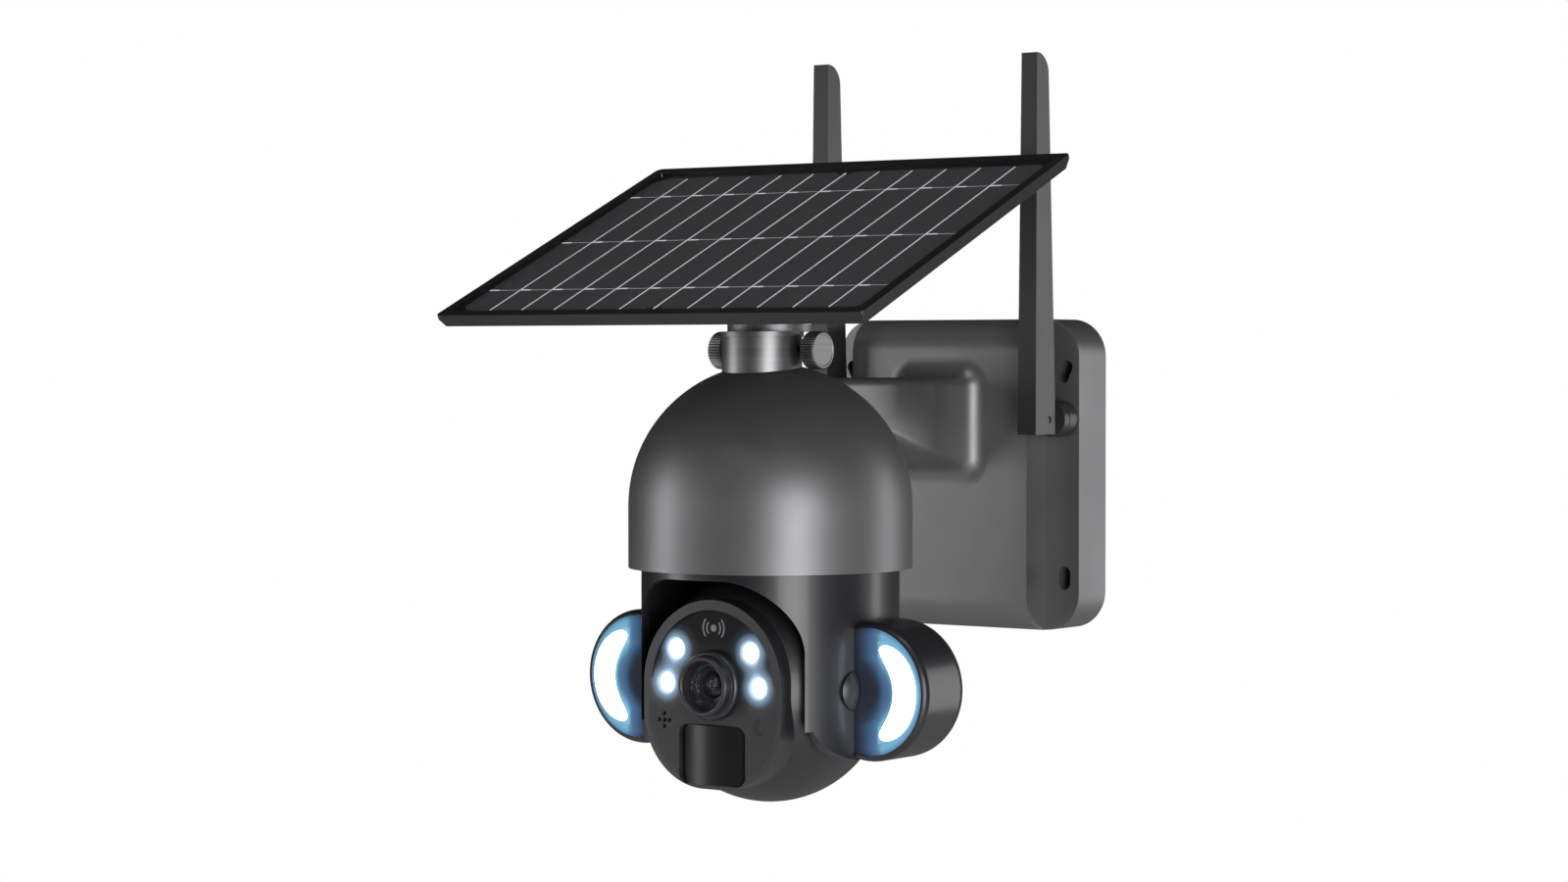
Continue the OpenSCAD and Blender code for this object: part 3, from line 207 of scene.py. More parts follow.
def lit_lens_and_painted_glint(name, tint, strength, core=None, base=0.9):
    """A glowing skin: white, with a cool tint and faint mottling; on the lamps a lit diffuser, on the panel's
    ribbons a painted glint.
    """
    g = Graph(name)
    cloud = g.noise(260, 3)
    g.link(g.ramp(cloud, (0.2, tint), (0.8, core or tint)), g.shader.inputs["Emission Color"])
    g.link(g.ramp(cloud, (0.2, (base * 0.88, base * 0.94, base)), (0.8, (base, base, base))),
           g.shader.inputs["Base Color"])
    g.set(Emission_Strength=strength, Roughness=0.35)
    return g.material


def spot_lens():
    """A lit spot light: white in the middle, cooler and softer towards its edge."""
    g = Graph("led_light")
    core = falloff(g, SPOTS, TILT_CENTRE, 4.6 * MM, 1.0)
    g.link(g.ramp(core, (0.0, (0.20, 0.34, 0.52)), (0.22, (0.55, 0.75, 0.98)), (0.5, (2.2, 2.4, 2.6))),
           g.shader.inputs["Emission Color"])
    cloud = g.noise(260, 3)
    g.link(g.ramp(cloud, (0.2, (0.80, 0.86, 0.92)), (0.8, (0.92, 0.95, 0.98))), g.shader.inputs["Base Color"])
    g.set(Emission_Strength=1.0, Roughness=0.3)
    return g.material


def clear(name, tint, alpha, rough):
    """Thin clear plastic or coated glass."""
    g = Graph(name)
    lighter = tuple(min(1, c * 1.08) for c in tint)
    g.link(g.ramp(g.noise(30, 3), (0.3, tint), (0.7, lighter)), g.shader.inputs["Base Color"])
    g.link(g.span(g.noise(90, 3), rough, rough + 0.03), g.shader.inputs["Roughness"])
    g.set(Alpha=alpha, IOR=1.5)
    return g.material


# The face's four spot lights, (x, z) in mm off the tilt axis.
SPOTS = ((19.2, 16.8), (-19.2, 16.8), (23.7, 2.5), (-23.7, 2.5))


def falloff(g, offsets, centre, reach, power):
    """Sum over points (x, z) in mm of a soft spot that fades to nothing at reach."""
    x, _, z = g.xyz()
    total = None
    for ox, oz in offsets:
        dx = g.math("SUBTRACT", x, centre.x + ox * MM)
        dz = g.math("SUBTRACT", z, centre.z + oz * MM)
        distance = g.math("SQRT", g.math("ADD", g.math("MULTIPLY", dx, dx), g.math("MULTIPLY", dz, dz)))
        spot = g.math("POWER", g.math("MAXIMUM", g.span(distance, 1.0, 0.0, (0.0, reach)), 0.0), power)
        total = spot if total is None else g.math("ADD", total, spot)
    return total


def face_skin():
    """The face: dark grey plastic, with painted shade in its recessed upper part and the spot lights' glow
    painted round them.
    """
    g = Graph("face_grey")
    drift = g.ramp(g.noise(30, 4), (0.3, (0.020, 0.020, 0.021)), (0.7, (0.028, 0.028, 0.030)))
    # Painted shade: the recessed upper part is mixed darker and made less shiny towards the top.
    painted_recess_shade = g.span(g.xyz()[2], 0, 1, (TILT_CENTRE.z + 4 * MM, TILT_CENTRE.z + 22 * MM))
    g.link(g.mix(painted_recess_shade, drift, (0.006, 0.006, 0.007)), g.shader.inputs["Base Color"])
    g.link(g.span(painted_recess_shade, 0.32, 0.10), g.shader.inputs["Specular IOR Level"])
    g.link(g.span(g.noise(60, 3), 0.38, 0.46), g.shader.inputs["Roughness"])
    # Painted glow: the spot lights' spill is painted on the face as emission that fades away from each light.
    glow = falloff(g, SPOTS, TILT_CENTRE, 13 * MM, 2.2)
    g.link(g.ramp(glow, (0.0, (0, 0, 0)), (0.10, (0.012, 0.020, 0.030)), (0.30, (0.16, 0.24, 0.34)),
                  (0.45, (0.55, 0.75, 0.95))), g.shader.inputs["Emission Color"])
    g.set(Emission_Strength=1.2, Metallic=0.1)
    g.bump(g.noise(2400, 2), 0.3, 0.006 * MM)
    return g.material


def window_with_painted_glow(side):
    """A floodlight's dark window with a painted glow: blue emission close to its lit crescent, standing in for
    the crescent's light spill, that falls off to black.
    """
    g = Graph("floodlight_window_" + ("right" if side > 0 else "left"))
    centre = pod_centre(side)
    x, _, z = g.xyz()
    dx = g.math("MULTIPLY", g.math("SUBTRACT", x, centre.x), side)
    dz = g.math("SUBTRACT", z, centre.z)
    radius = g.math("SQRT", g.math("ADD", g.math("MULTIPLY", dx, dx), g.math("MULTIPLY", dz, dz)))
    from_arc = g.math("ABSOLUTE", g.math("SUBTRACT", radius, 19 * MM))
    off_arc = g.math("MAXIMUM", g.math("SUBTRACT", from_arc, 5 * MM), 0.0)
    inward = g.math("MAXIMUM", g.math("SUBTRACT", 7 * MM, dx), 0.0)
    near = g.span(g.math("ADD", off_arc, inward), 1.0, 0.0, (0.0, 15 * MM))
    glow = g.math("POWER", g.math("MAXIMUM", near, 0.0), 2.0)
    # Painted glow: blue emission, strongest next to the crescent, standing in for its light spilling onto the
    # window.
    blue = g.ramp(glow, (0.0, (0.0, 0.002, 0.006)), (0.11, (0.004, 0.020, 0.050)), (0.36, (0.028, 0.08, 0.18)),
                  (0.64, (0.05, 0.14, 0.26)), (1.0, (0.15, 0.38, 0.55)))
    g.link(blue, g.shader.inputs["Emission Color"])
    drift = g.noise(40, 3)
    g.link(g.ramp(drift, (0.3, (0.018, 0.020, 0.026)), (0.7, (0.030, 0.034, 0.042))),
           g.shader.inputs["Base Color"])
    g.link(g.span(g.noise(70, 3), 0.12, 0.2), g.shader.inputs["Roughness"])
    g.set(Emission_Strength=1.1, Coat_Weight=0.5, Coat_Roughness=0.05)
    return g.material


# ---- Mesh helpers ----

def finish_mesh(name, bm, material, body, smooth=True):
    """Turns a bmesh into a piece that rides on a body."""
    bmesh.ops.recalc_face_normals(bm, faces=bm.faces)
    mesh = bpy.data.meshes.new(name)
    bm.to_mesh(mesh)
    bm.free()
    for face in mesh.polygons:
        face.use_smooth = smooth
    mesh.materials.append(material)
    piece = bpy.data.objects.new(name, mesh)
    bpy.context.scene.collection.objects.link(piece)
    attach(piece, body)
    return piece


def along(axis):
    """A rotation that takes +Z to axis."""
    return Vector((0, 0, 1)).rotation_difference(Vector(axis)).to_matrix().to_4x4()


def turned(name, profile, at, axis, material, body, steps=96, knurl=None):
    """A turned piece: profile is a closed loop of (radius, height); knurl is (ring numbers, teeth, depth)."""
    bm = bmesh.new()
    place = Matrix.Translation(at) @ along(axis)
    rings = []
    for number, (radius, height) in enumerate(profile):
        ring = []
        for k in range(steps):
            angle = 2 * math.pi * k / steps
            r = radius
            if knurl and number in knurl[0]:
                r -= knurl[2] * abs(math.sin(angle * knurl[1] / 2)) ** 2
            ring.append(bm.verts.new(place @ Vector((r * math.cos(angle), r * math.sin(angle), height))))
        rings.append(ring)
    for first, second in zip(rings, rings[1:] + rings[:1]):
        for k in range(steps):
            j = (k + 1) % steps
            bm.faces.new((first[k], first[j], second[j], second[k]))
    bmesh.ops.remove_doubles(bm, verts=bm.verts, dist=0.002 * MM)
    piece = finish_mesh(name, bm, material, body)
    split_edges(piece, 32)
    return piece


def split_edges(piece, degrees):
    """Sharp shading across edges steeper than this."""
    piece.data.set_sharp_from_angle(angle=math.radians(degrees))


def soften(node, width, segments=2, degrees=32):
    """Rounds a CAD node's sharp edges a little, so that they catch light."""
    piece = NODES[node]
    for face in piece.data.polygons:
        face.use_smooth = True
    weld = piece.modifiers.new("Weld", "WELD")
    weld.merge_threshold = 0.003 * MM
    if width:
        bevel = piece.modifiers.new("Bevel", "BEVEL")
        bevel.width = width * MM
        bevel.segments = segments
        bevel.limit_method = "ANGLE"
        bevel.angle_limit = math.radians(degrees)
        bevel.use_clamp_overlap = True
        even = piece.modifiers.new("Even", "WEIGHTED_NORMAL")
        even.weight = 90
    return piece


def slab(bm, outline, low, high, place):
    """Adds a flat prism: outline is a list of (x, y), raised from low to high, then moved by place."""
    bottom = [bm.verts.new(place @ Vector((x, y, low))) for x, y in outline]
    top = [bm.verts.new(place @ Vector((x, y, high))) for x, y in outline]
    bm.faces.new(bottom[::-1])
    bm.faces.new(top)
    count = len(outline)
    for k in range(count):
        j = (k + 1) % count
        bm.faces.new((bottom[k], bottom[j], top[j], top[k]))


def rectangle(x0, x1, y0, y1):
    """A slab's outline."""
    return [(x0, y0), (x1, y0), (x1, y1), (x0, y1)]


# ---- Places from the frame ----

def pod_centre(side):
    """The middle of a floodlight's round front; side is 1 on the right and -1 on the left."""
    low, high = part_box("floodlight_housing_" + ("right" if side > 0 else "left"))
    radius = (high.z - low.z) / 2
    outer = high.x if side > 0 else low.x
    return Vector((outer - side * radius, low.y, (low.z + high.z) / 2))


# ---- Materials ----

GUNMETAL = moulded("gunmetal", (0.150, 0.151, 0.155), (0.175, 0.176, 0.180), 0.45, metallic=0.72,
                   grain=3200, grain_depth=0.010 * MM)
GLOSS_BLACK = moulded("gloss_black", (0.012, 0.012, 0.014), (0.018, 0.018, 0.021), 0.36, metallic=0.1,
                      grain=1800, grain_depth=0.005 * MM, coat=0.1)
HOOD_BLACK = moulded("hood_black", (0.016, 0.016, 0.018), (0.024, 0.024, 0.027), 0.40, metallic=0.1,
                     grain=2200, grain_depth=0.006 * MM, coat=0.05)
WINDOW = moulded("motion_window", (0.005, 0.005, 0.006), (0.009, 0.009, 0.010), 0.36, grain=900,
                 grain_depth=0.006 * MM, shine=0.25)
ANTENNA = moulded("antenna_black", (0.014, 0.014, 0.015), (0.022, 0.022, 0.023), 0.38,
                  grain=2600, grain_depth=0.015 * MM)
FRAME_BLACK = moulded("frame_black", (0.004, 0.004, 0.005), (0.008, 0.008, 0.009), 0.34, grain=2400,
                      grain_depth=0.008 * MM)
INNER = moulded("inner_plastic", (0.035, 0.037, 0.040), (0.055, 0.057, 0.060), 0.55, grain=1500)
RUBBER = moulded("seal_rubber", (0.008, 0.008, 0.008), (0.016, 0.016, 0.016), 0.7, grain=900)
ACETAL = moulded("acetal", (0.70, 0.67, 0.58), (0.80, 0.78, 0.70), 0.42, grain=1500)
WRAP = moulded("cell_wrap", (0.02, 0.20, 0.24), (0.03, 0.28, 0.32), 0.25, grain=700, coat=0.5)
STEEL = brushed("zinc_steel", (0.42, 0.42, 0.43), (0.62, 0.62, 0.63), 0.32, (1, 1, 1))
NECK_METAL = brushed("neck_metal", (0.19, 0.19, 0.195), (0.24, 0.24, 0.245), 0.42, (0.02, 0.02, 1))
KNOB_METAL = brushed("knob_metal", (0.17, 0.17, 0.175), (0.23, 0.23, 0.235), 0.46, (1, 0.05, 1))
BOARD = circuit_board("circuit_board")
CELL = cell_skin()
# The ribbons' faint emission is a painted glint, standing in for light caught by the bright metal.
RIBBON_PAINTED_GLINT = lit_lens_and_painted_glint("ribbon", (0.80, 0.82, 0.86), 0.22, (0.92, 0.93, 0.95))
GLASS = clear("panel_glass", (0.10, 0.11, 0.12), 0.02, 0.12)
LENS_GLASS = clear("lens_glass", (0.02, 0.02, 0.03), 0.10, 0.02)
CRESCENT_LIGHT = lit_lens_and_painted_glint("crescent_light", (0.62, 0.84, 1.0), 5.0, (0.80, 0.93, 1.0))
CRESCENT_EDGE = lit_lens_and_painted_glint("crescent_edge", (0.16, 0.42, 0.62), 0.9, (0.22, 0.50, 0.70), base=0.05)
ICON = moulded("icon_grey", (0.13, 0.13, 0.135), (0.17, 0.17, 0.175), 0.45, grain=1200)
RING = moulded("lens_ring", (0.16, 0.16, 0.17), (0.24, 0.24, 0.25), 0.25, metallic=0.8)
COATING = moulded("lens_coating", (0.045, 0.050, 0.075), (0.085, 0.075, 0.11), 0.08, metallic=0.6, grain=200,
                  grain_depth=0.002 * MM, coat=1.0)
FACE = face_skin()

DRESS = [
    (GUNMETAL, "case_shell back_plate dome_cover"),
    (RUBBER, "case_seal"),
    (STEEL, "case_screws arm_screws dome_screws hub_screws cheek_screws ball_screws hinge_pin"
            " pan_motor tilt_motor tilt_axles motion_sensor"),
    (WRAP, "battery_cells"),
    (INNER, "battery_tray deck pan_hub floodlight_boards speaker"),
    (BOARD, "charge_board main_board sensor_board"),
    (ACETAL, "pan_pinion pan_bush pan_gear tilt_gear tilt_pinion tilt_bushes"),
    (GLOSS_BLACK, "pan_body cheek_covers floodlight_housing_left floodlight_housing_right side_caps"
                  " ball_rear card_cover junction_box"),
    (HOOD_BLACK, "ball_front lens_barrel"),
    (FACE, "face_plate"),
    (WINDOW, "motion_window"),
    (CRESCENT_EDGE, "floodlight_diffusers"),
    (spot_lens(), "led_lenses"),
    (LENS_GLASS, "lens_glass"),
    (NECK_METAL, "neck_sleeve"),
    (KNOB_METAL, "panel_fork panel_lug"),
    (FRAME_BLACK, "panel_frame"),
    (GLASS, "panel_glass"),
    (ANTENNA, "antenna_sockets antenna_knuckle_left antenna_knuckle_right"
              " antenna_blade_left antenna_blade_right"),
]


def dress_nodes():
    """Gives every CAD node its material."""
    for material, names in DRESS:
        for name in names.split():
            slots = NODES[name].data.materials
            slots.clear()
            slots.append(material)
    windows = NODES["floodlight_windows"].data
    windows.materials.clear()
    windows.materials.append(window_with_painted_glow(1))
    windows.materials.append(window_with_painted_glow(-1))
    for face in windows.polygons:
        face.material_index = 0 if windows.vertices[face.vertices[0]].co.x > 0 else 1


ROUNDING = {
    1.1: "case_shell",
    2.2: "antenna_blade_left antenna_blade_right",
    1.6: "panel_frame",
    0.8: "pan_body ball_front ball_rear floodlight_housing_left floodlight_housing_right",
    0.6: "dome_cover panel_fork panel_lug junction_box back_plate",
    0.35: "neck_sleeve lens_barrel antenna_sockets antenna_knuckle_left antenna_knuckle_right battery_cells"
          " card_cover hinge_pin side_caps",
    0.15: "floodlight_windows face_plate floodlight_diffusers",
    0.2: "motion_window battery_tray charge_board main_board sensor_board deck pan_hub"
         " pan_motor tilt_motor tilt_axles speaker motion_sensor floodlight_boards cheek_covers"
         " pan_pinion pan_gear pan_bush tilt_gear tilt_pinion tilt_bushes case_seal",
    0: "case_screws arm_screws dome_screws hub_screws cheek_screws ball_screws"
       " lens_glass led_lenses panel_glass",
}


# ---- Arm ----

def arm():
    """The arm as one smooth loft from its flare on the case to the dome."""
    low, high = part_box("arm")
    dome_low, dome_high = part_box("dome_cover")
    dome_r = (dome_high.x - dome_low.x) / 2
    dome_z = -10 * MM
    flare = 9 * MM
    half = high.x - flare
    top = high.z - flare
    case_y = high.y
    underside = [(0, 3), (9, 3.8), (20, 6.8), (42, 11.6), (58, 16.5), (75, 21), (140, 33)]

    def bottom_at(out):
        for (a, za), (b, zb) in zip(underside, underside[1:]):
            if out <= b * MM:
                return (za + (zb - za) * (out / MM - a) / (b - a)) * MM
        return underside[-1][1] * MM

    def section(out, corner, u):
        """Point u of a rounded rectangle at a distance out from the case."""
        grow = flare - math.sqrt(flare ** 2 - max(0.0, flare - out) ** 2) if out < flare else 0.0
        w = half + grow
        z0, z1 = bottom_at(out) - grow, top + grow
        r = corner + grow
        arcs = [(w - r, z1 - r, 0), (-w + r, z1 - r, 90), (-w + r, z0 + r, 180), (w - r, z0 + r, 270)]
        quarter = min(3, int(u * 4))
        cx, cz, start = arcs[quarter]
        angle = math.radians(start + 90 * (u * 4 - quarter))
        return cx + r * math.cos(angle), cz + r * math.sin(angle)

    def reach_of(u):
        """How far from the case this line of the loft meets the dome's wall."""
        out = 70 * MM
        for _ in range(12):
            x, z = section(out, 4 * MM, u)
            inside = (dome_r - 1.2 * MM) ** 2 - (z - dome_z) ** 2 - x ** 2
            out = case_y - (PAN_AXIS.y + math.sqrt(max(inside, 0.0)))
        return out

    around, quarter_steps = [], 10
    for quarter in range(4):
        for k in range(quarter_steps + 1):
            around.append(min((quarter + min(k / quarter_steps, 0.99999)) / 4, 0.99999))
    flare_steps = [flare * (1 - math.cos(math.radians(90 * k / 10))) for k in range(11)]
    steps = flare_steps + [None] * 14
    bm = bmesh.new()
    lines = []
    for u in around:
        end = reach_of(u)
        line = []
        for k, out in enumerate(steps):
            if out is None:
                out = flare + (end - flare) * (k - 10) / 14
            x, z = section(out, 4 * MM, u)
            line.append(bm.verts.new((x, case_y - out, z)))
        lines.append(line)
    for first, second in zip(lines, lines[1:] + lines[:1]):
        for k in range(len(steps) - 1):
            bm.faces.new((first[k], second[k], second[k + 1], first[k + 1]))
    bm.faces.new([line[0] for line in lines])
    bm.faces.new([line[-1] for line in lines][::-1])
    bmesh.ops.remove_doubles(bm, verts=bm.verts, dist=0.002 * MM)
    piece = finish_mesh("arm_shell", bm, GUNMETAL, "wall_base")
    split_edges(piece, 60)
    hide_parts("arm")


# ---- Solar panel ----

SLOPE = math.radians(24)
STRIPS = 12
STRIP_GAP = 1.0 * MM
PANEL_DEPTH = 167 * MM


def panel_place():
    """Takes the panel's own flat frame, with its hinge at the origin, to the tilted panel."""
    return Matrix.Translation(JOINT["panel_tilt"]) @ Matrix.Rotation(SLOPE, 4, "X")


def in_panel(name, bm, material):
    """A panel piece drawn in the panel's own flat frame, so that its finish follows the strips."""
    piece = finish_mesh(name, bm, material, "solar_panel", smooth=False)
    world = piece.matrix_world.copy()
    piece.matrix_world = panel_place() @ world
    return piece


def solar_cells():
    """Twelve strips in two groups with cut corners, silver ribbons between them and three busbars across."""
    low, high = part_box("panel_frame")
    border = 5.2 * MM
    width = high.x - low.x - 2 * border
    depth = PANEL_DEPTH - 2 * border
    cell_low = 15.9 * MM
    flat = Matrix.Translation((0, -6.3 * MM, 0))
    strip_w = (width - 1 * MM - (STRIPS - 1) * STRIP_GAP) / STRIPS
    pitch = strip_w + STRIP_GAP
    half_d = depth / 2 - 3.2 * MM
    cut = 5.0 * MM

    sheet = bmesh.new()
    sheet_x, sheet_y = width / 2 - 0.3 * MM, depth / 2 - 0.3 * MM
    slab(sheet, rectangle(-sheet_x, sheet_x, -sheet_y, sheet_y), cell_low, cell_low + 0.12 * MM, flat)
    backing = in_panel("cell_backing", sheet, FRAME_BLACK)

    cells = bmesh.new()
    for k in range(STRIPS):
        x0 = (k - (STRIPS - 1) / 2) * pitch - strip_w / 2
        x1 = x0 + strip_w
        left_cut = cut if k % (STRIPS // 2) == 0 else 0
        right_cut = cut if k % (STRIPS // 2) == STRIPS // 2 - 1 else 0
        outline = []
        corners = ((x0, -half_d, left_cut), (x1, -half_d, right_cut),
                   (x1, half_d, right_cut), (x0, half_d, left_cut))
        for x, y, c in corners:
            sx, sy = (1 if x == x0 else -1), (1 if y < 0 else -1)
            if not c:
                outline.append((x, y))
                continue
            along_x, along_y = (x + sx * c, y), (x, y + sy * c)
            outline += [along_y, along_x] if sx * sy > 0 else [along_x, along_y]
        slab(cells, outline, cell_low + 0.12 * MM, cell_low + 0.32 * MM, flat)
    strips = in_panel("cell_strips", cells, CELL)
    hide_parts("solar_cells")
    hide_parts("solar_cells")

    metal = bmesh.new()
    ribbon, top = 0.58 * MM, cell_low + 0.36 * MM
    for k in range(1, STRIPS):
        x = (k - STRIPS / 2) * pitch
        slab(metal, rectangle(x - ribbon / 2, x + ribbon / 2, -half_d + 1 * MM, half_d - 1 * MM),
             cell_low + 0.12 * MM, top, flat)
    for share in (-0.35, 0, 0.35):
        y = share * 2 * half_d
        slab(metal, rectangle(-width / 2 + 1.5 * MM, width / 2 - 1.5 * MM, y - 0.10 * MM, y + 0.10 * MM),
             cell_low + 0.3 * MM, top - 0.01 * MM, flat)
        for k in range(STRIPS):
            x = (k - STRIPS / 2) * pitch + 0.6 * MM
            pad = rectangle(x, x + 5.2 * MM, y - 0.5 * MM, y + 0.5 * MM)
            slab(metal, pad, cell_low + 0.3 * MM, top + 0.03 * MM, flat)
    # The ribbons glow faintly: a painted glint.
    in_panel("cell_ribbons", metal, RIBBON_PAINTED_GLINT)


# ---- Neck ----

def thumb_screws():
    """Two knurled thumb screws."""
    for side, word in ((1, "right"), (-1, "left")):
        low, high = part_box("thumb_screw_" + word)
        centre = Vector((0, (low.y + high.y) / 2, (low.z + high.z) / 2))
        inner, outer = sorted((abs(low.x), abs(high.x)))
        r = (high.z - low.z) / 2
        thick = 6.9 * MM
        back = outer - thick
        profile = [
            (0, inner), (2 * MM, inner), (2 * MM, back - 2.2 * MM), (4.2 * MM, back - 2.2 * MM),
            (4.6 * MM, back - 1.8 * MM), (4.6 * MM, back), (r - 0.7 * MM, back), (r, back + 0.6 * MM),
            (r, outer - 0.6 * MM), (r - 0.6 * MM, outer), (r - 1.3 * MM, outer),
            (r - 1.6 * MM, outer - 0.25 * MM), (0, outer - 0.25 * MM),
        ]
        piece = turned("knob_" + word, profile, centre, (side, 0, 0), KNOB_METAL, "neck_screw_" + word,
                       steps=264, knurl=((7, 8), 44, 0.45 * MM))
        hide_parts("thumb_screw_" + word)


# ---- Camera face ----

FORWARD = (0, -1, 0)
RIM_FRONT = 41        # the hood's rim, in mm ahead of the tilt axis
PLATE_FRONT = 39.7    # the face plate's recessed upper part


def face_point(x, z, front):
    """A point on the camera's face from its place off the tilt axis, in millimetres."""
    return TILT_CENTRE + Vector((x * MM, -front * MM, z * MM))


def face_turn():
    """Turns a drawing in X and Y so that it stands on the face: X across, Y up, seen from the front."""
    return Matrix.Rotation(math.radians(90), 4, "X")


def face_outline(inset):
    """The face's edge in mm off the tilt axis, (x, z), from above its middle down to the window's side."""
    half, low_r, low_x, low_z, window_half = 35.6 - inset, 31 - inset, 4.6, -9.7, 17.4
    stop = 360 - math.degrees(math.acos((low_x - window_half) / low_r))
    angles = [math.radians(180 + (stop - 180) * k / 16) for k in range(17)]
    return [(-half, 4)] + [(-low_x + low_r * math.cos(a), low_z + low_r * math.sin(a)) for a in angles]


def face_seam():
    """A smooth skin over the joint between the face and its rim, where the two are flush."""
    outer, inner = face_outline(2.6), face_outline(5.8)
    bm = bmesh.new()
    for side in (1, -1):
        slab(bm, [(side * x * MM, z * MM) for x, z in outer + inner[::-1]], 0, 0.06 * MM,
             Matrix.Translation(face_point(0, 0, RIM_FRONT)) @ face_turn())
    finish_mesh("face_seam", bm, FACE, "camera_ball", smooth=False)


def led_bezels():
    """A dark ring round each spot light."""
    section = [(4.45, 0), (5.5, 0), (5.5, 0.5), (5.1, 0.9), (4.7, 0.7), (4.45, 0.3)]
    profile = [(radius * MM, height * MM) for radius, height in section]
    for number, (x, z) in enumerate(SPOTS):
        turned(f"led_bezel_{number + 1}", profile, face_point(x, z, PLATE_FRONT), FORWARD, FACE,
               "camera_ball", steps=64)


def lens_core():
    """What shows behind the front glass: stepped black rings, an inner element and the iris."""
    low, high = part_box("lens_barrel")
    centre = Vector(((low.x + high.x) / 2, low.y, (low.z + high.z) / 2))

    def back(depth):
        return centre + Vector((0, depth * MM, 0))

    rings = [(10.1, 6.2), (8.9, 6.4), (8.7, 7.0), (7.4, 7.2), (7.1, 8.2), (5.6, 8.4), (5.4, 9.6),
             (5.4, 10.4), (7.1, 10.4), (7.1, 9.0), (10.1, 6.95)]
    turned("lens_rings", [(r * MM, -d * MM) for r, d in rings], centre, FORWARD, HOOD_BLACK, "camera_ball")
    turned("lens_gilt_ring", [(8.3 * MM, 0), (8.8 * MM, 0), (8.8 * MM, 0.3 * MM), (8.3 * MM, 0.3 * MM)],
           back(6.6), FORWARD, RING, "camera_ball")
    lens_r, rise = 5.3 * MM, 1.8 * MM
    bulge = [(lens_r * math.sin(math.radians(a)), rise * math.cos(math.radians(a))) for a in range(0, 91, 10)]
    turned("lens_element", bulge + [(lens_r, -0.4 * MM), (0, -0.4 * MM)], back(9.8), FORWARD, COATING,
           "camera_ball")


def light_sensor():
    """The light sensor's moon-shaped opening: a face-coloured plug fills the round hole, and a black crescent
    sheet on it is painted shade for the dark inside of the opening.
    """
    x, z, r = 24, -13.8, 3.0
    plug = [(0, -1.6 * MM), (r * MM, -1.6 * MM), (r * MM, -0.05 * MM), (0, -0.05 * MM)]
    turned("sensor_plug", plug, face_point(x, z, RIM_FRONT), FORWARD, FACE, "camera_ball", steps=48)
    # Painted shade: a thin black crescent sheet stands for the dark inside of the sensor's opening.
    bm = bmesh.new()
    outer = [(r * math.cos(math.radians(a)), r * math.sin(math.radians(a))) for a in range(52, 309, 8)]
    bite, shift = 2.35, 1.55
    inner_turns = [math.radians(a) for a in range(270, 89, -10)]
    inner = [(shift + bite * math.cos(a), bite * math.sin(a)) for a in inner_turns]
    outline = [(px * MM, py * MM) for px, py in outer + inner]
    slab(bm, outline, 0, 0.1 * MM, Matrix.Translation(face_point(x, z, RIM_FRONT - 0.04)) @ face_turn())
    finish_mesh("sensor_opening_painted_shade", bm, FRAME_BLACK, "camera_ball", smooth=False)


def crescent_outline():
    """The lit crescent's outline in mm from its pod's centre: a thick arc that narrows to round ends."""
    centre_x, radius, reach, half = -1.06, 19.6, 68, 5.5
    outline = []
    for k in range(96):
        turn = 2 * math.pi * k / 96
        along = math.copysign(abs(math.sin(turn)) ** 0.8, math.sin(turn))
        across = half * math.copysign(math.sqrt(1 - abs(along) ** 2.5), math.cos(turn))
        angle = math.radians(reach * along)
        r = radius + across
        outline.append((centre_x + r * math.cos(angle), r * math.sin(angle)))
    return outline


def crescents():
    """The bright, round-ended light guide on each floodlight."""
    for side, word in ((1, "right"), (-1, "left")):
        bm = bmesh.new()
        centre = pod_centre(side)
        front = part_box("floodlight_diffusers")[0].y
        place = Matrix.Translation((centre.x, front + 0.2 * MM, centre.z)) @ face_turn()
        verts = [bm.verts.new(place @ Vector((side * x * MM, z * MM, 0))) for x, z in crescent_outline()]
        bm.faces.new(verts)
        grown = bmesh.ops.extrude_face_region(bm, geom=list(bm.faces))
        top = [v for v in grown["geom"] if isinstance(v, bmesh.types.BMVert)]
        bmesh.ops.translate(bm, verts=top, vec=(0, -0.8 * MM, 0))
        piece = finish_mesh("light_guide_" + word, bm, CRESCENT_LIGHT, "pan_head", smooth=False)
        rim = piece.modifiers.new("Rim", "BEVEL")
        rim.width = 0.3 * MM
        rim.segments = 2
        rim.limit_method = "ANGLE"
        rim.angle_limit = math.radians(60)


def wave_icon():
    """A plain sensor sign printed on the face: a dot with two arcs on each side."""
    bm = bmesh.new()
    upright = Matrix.Translation(face_point(0, 26.1, PLATE_FRONT + 0.05)) @ face_turn()

    def arc(radius, half_angle, side, wide=0.34 * MM, steps=14):
        angles = [math.radians(half_angle * (2 * k / steps - 1)) for k in range(steps + 1)]
        outer = [(side * (radius + wide) * math.cos(a), (radius + wide) * math.sin(a)) for a in angles]
        inner = [(side * (radius - wide) * math.cos(a), (radius - wide) * math.sin(a)) for a in angles]
        slab(bm, outer + inner[::-1], 0, 0.12 * MM, upright)

    dot_r = 1.5 * MM
    dot_turns = [math.radians(a) for a in range(0, 360, 15)]
    slab(bm, [(dot_r * math.cos(a), dot_r * math.sin(a)) for a in dot_turns], 0, 0.12 * MM, upright)
    for side in (-1, 1):
        arc(3.5 * MM, 42, side)
        arc(5.4 * MM, 42, side)
    finish_mesh("wave_mark", bm, ICON, "camera_ball", smooth=False)


# ---- Studio ----

AIM = Vector((0.0, -0.150, -0.01))
CAMERA_AT = Vector((0.8785, -1.3660, 0.0530))
CAMERA_AZIMUTH = math.radians(36.01)
CAMERA_DIP = math.radians(1.38)


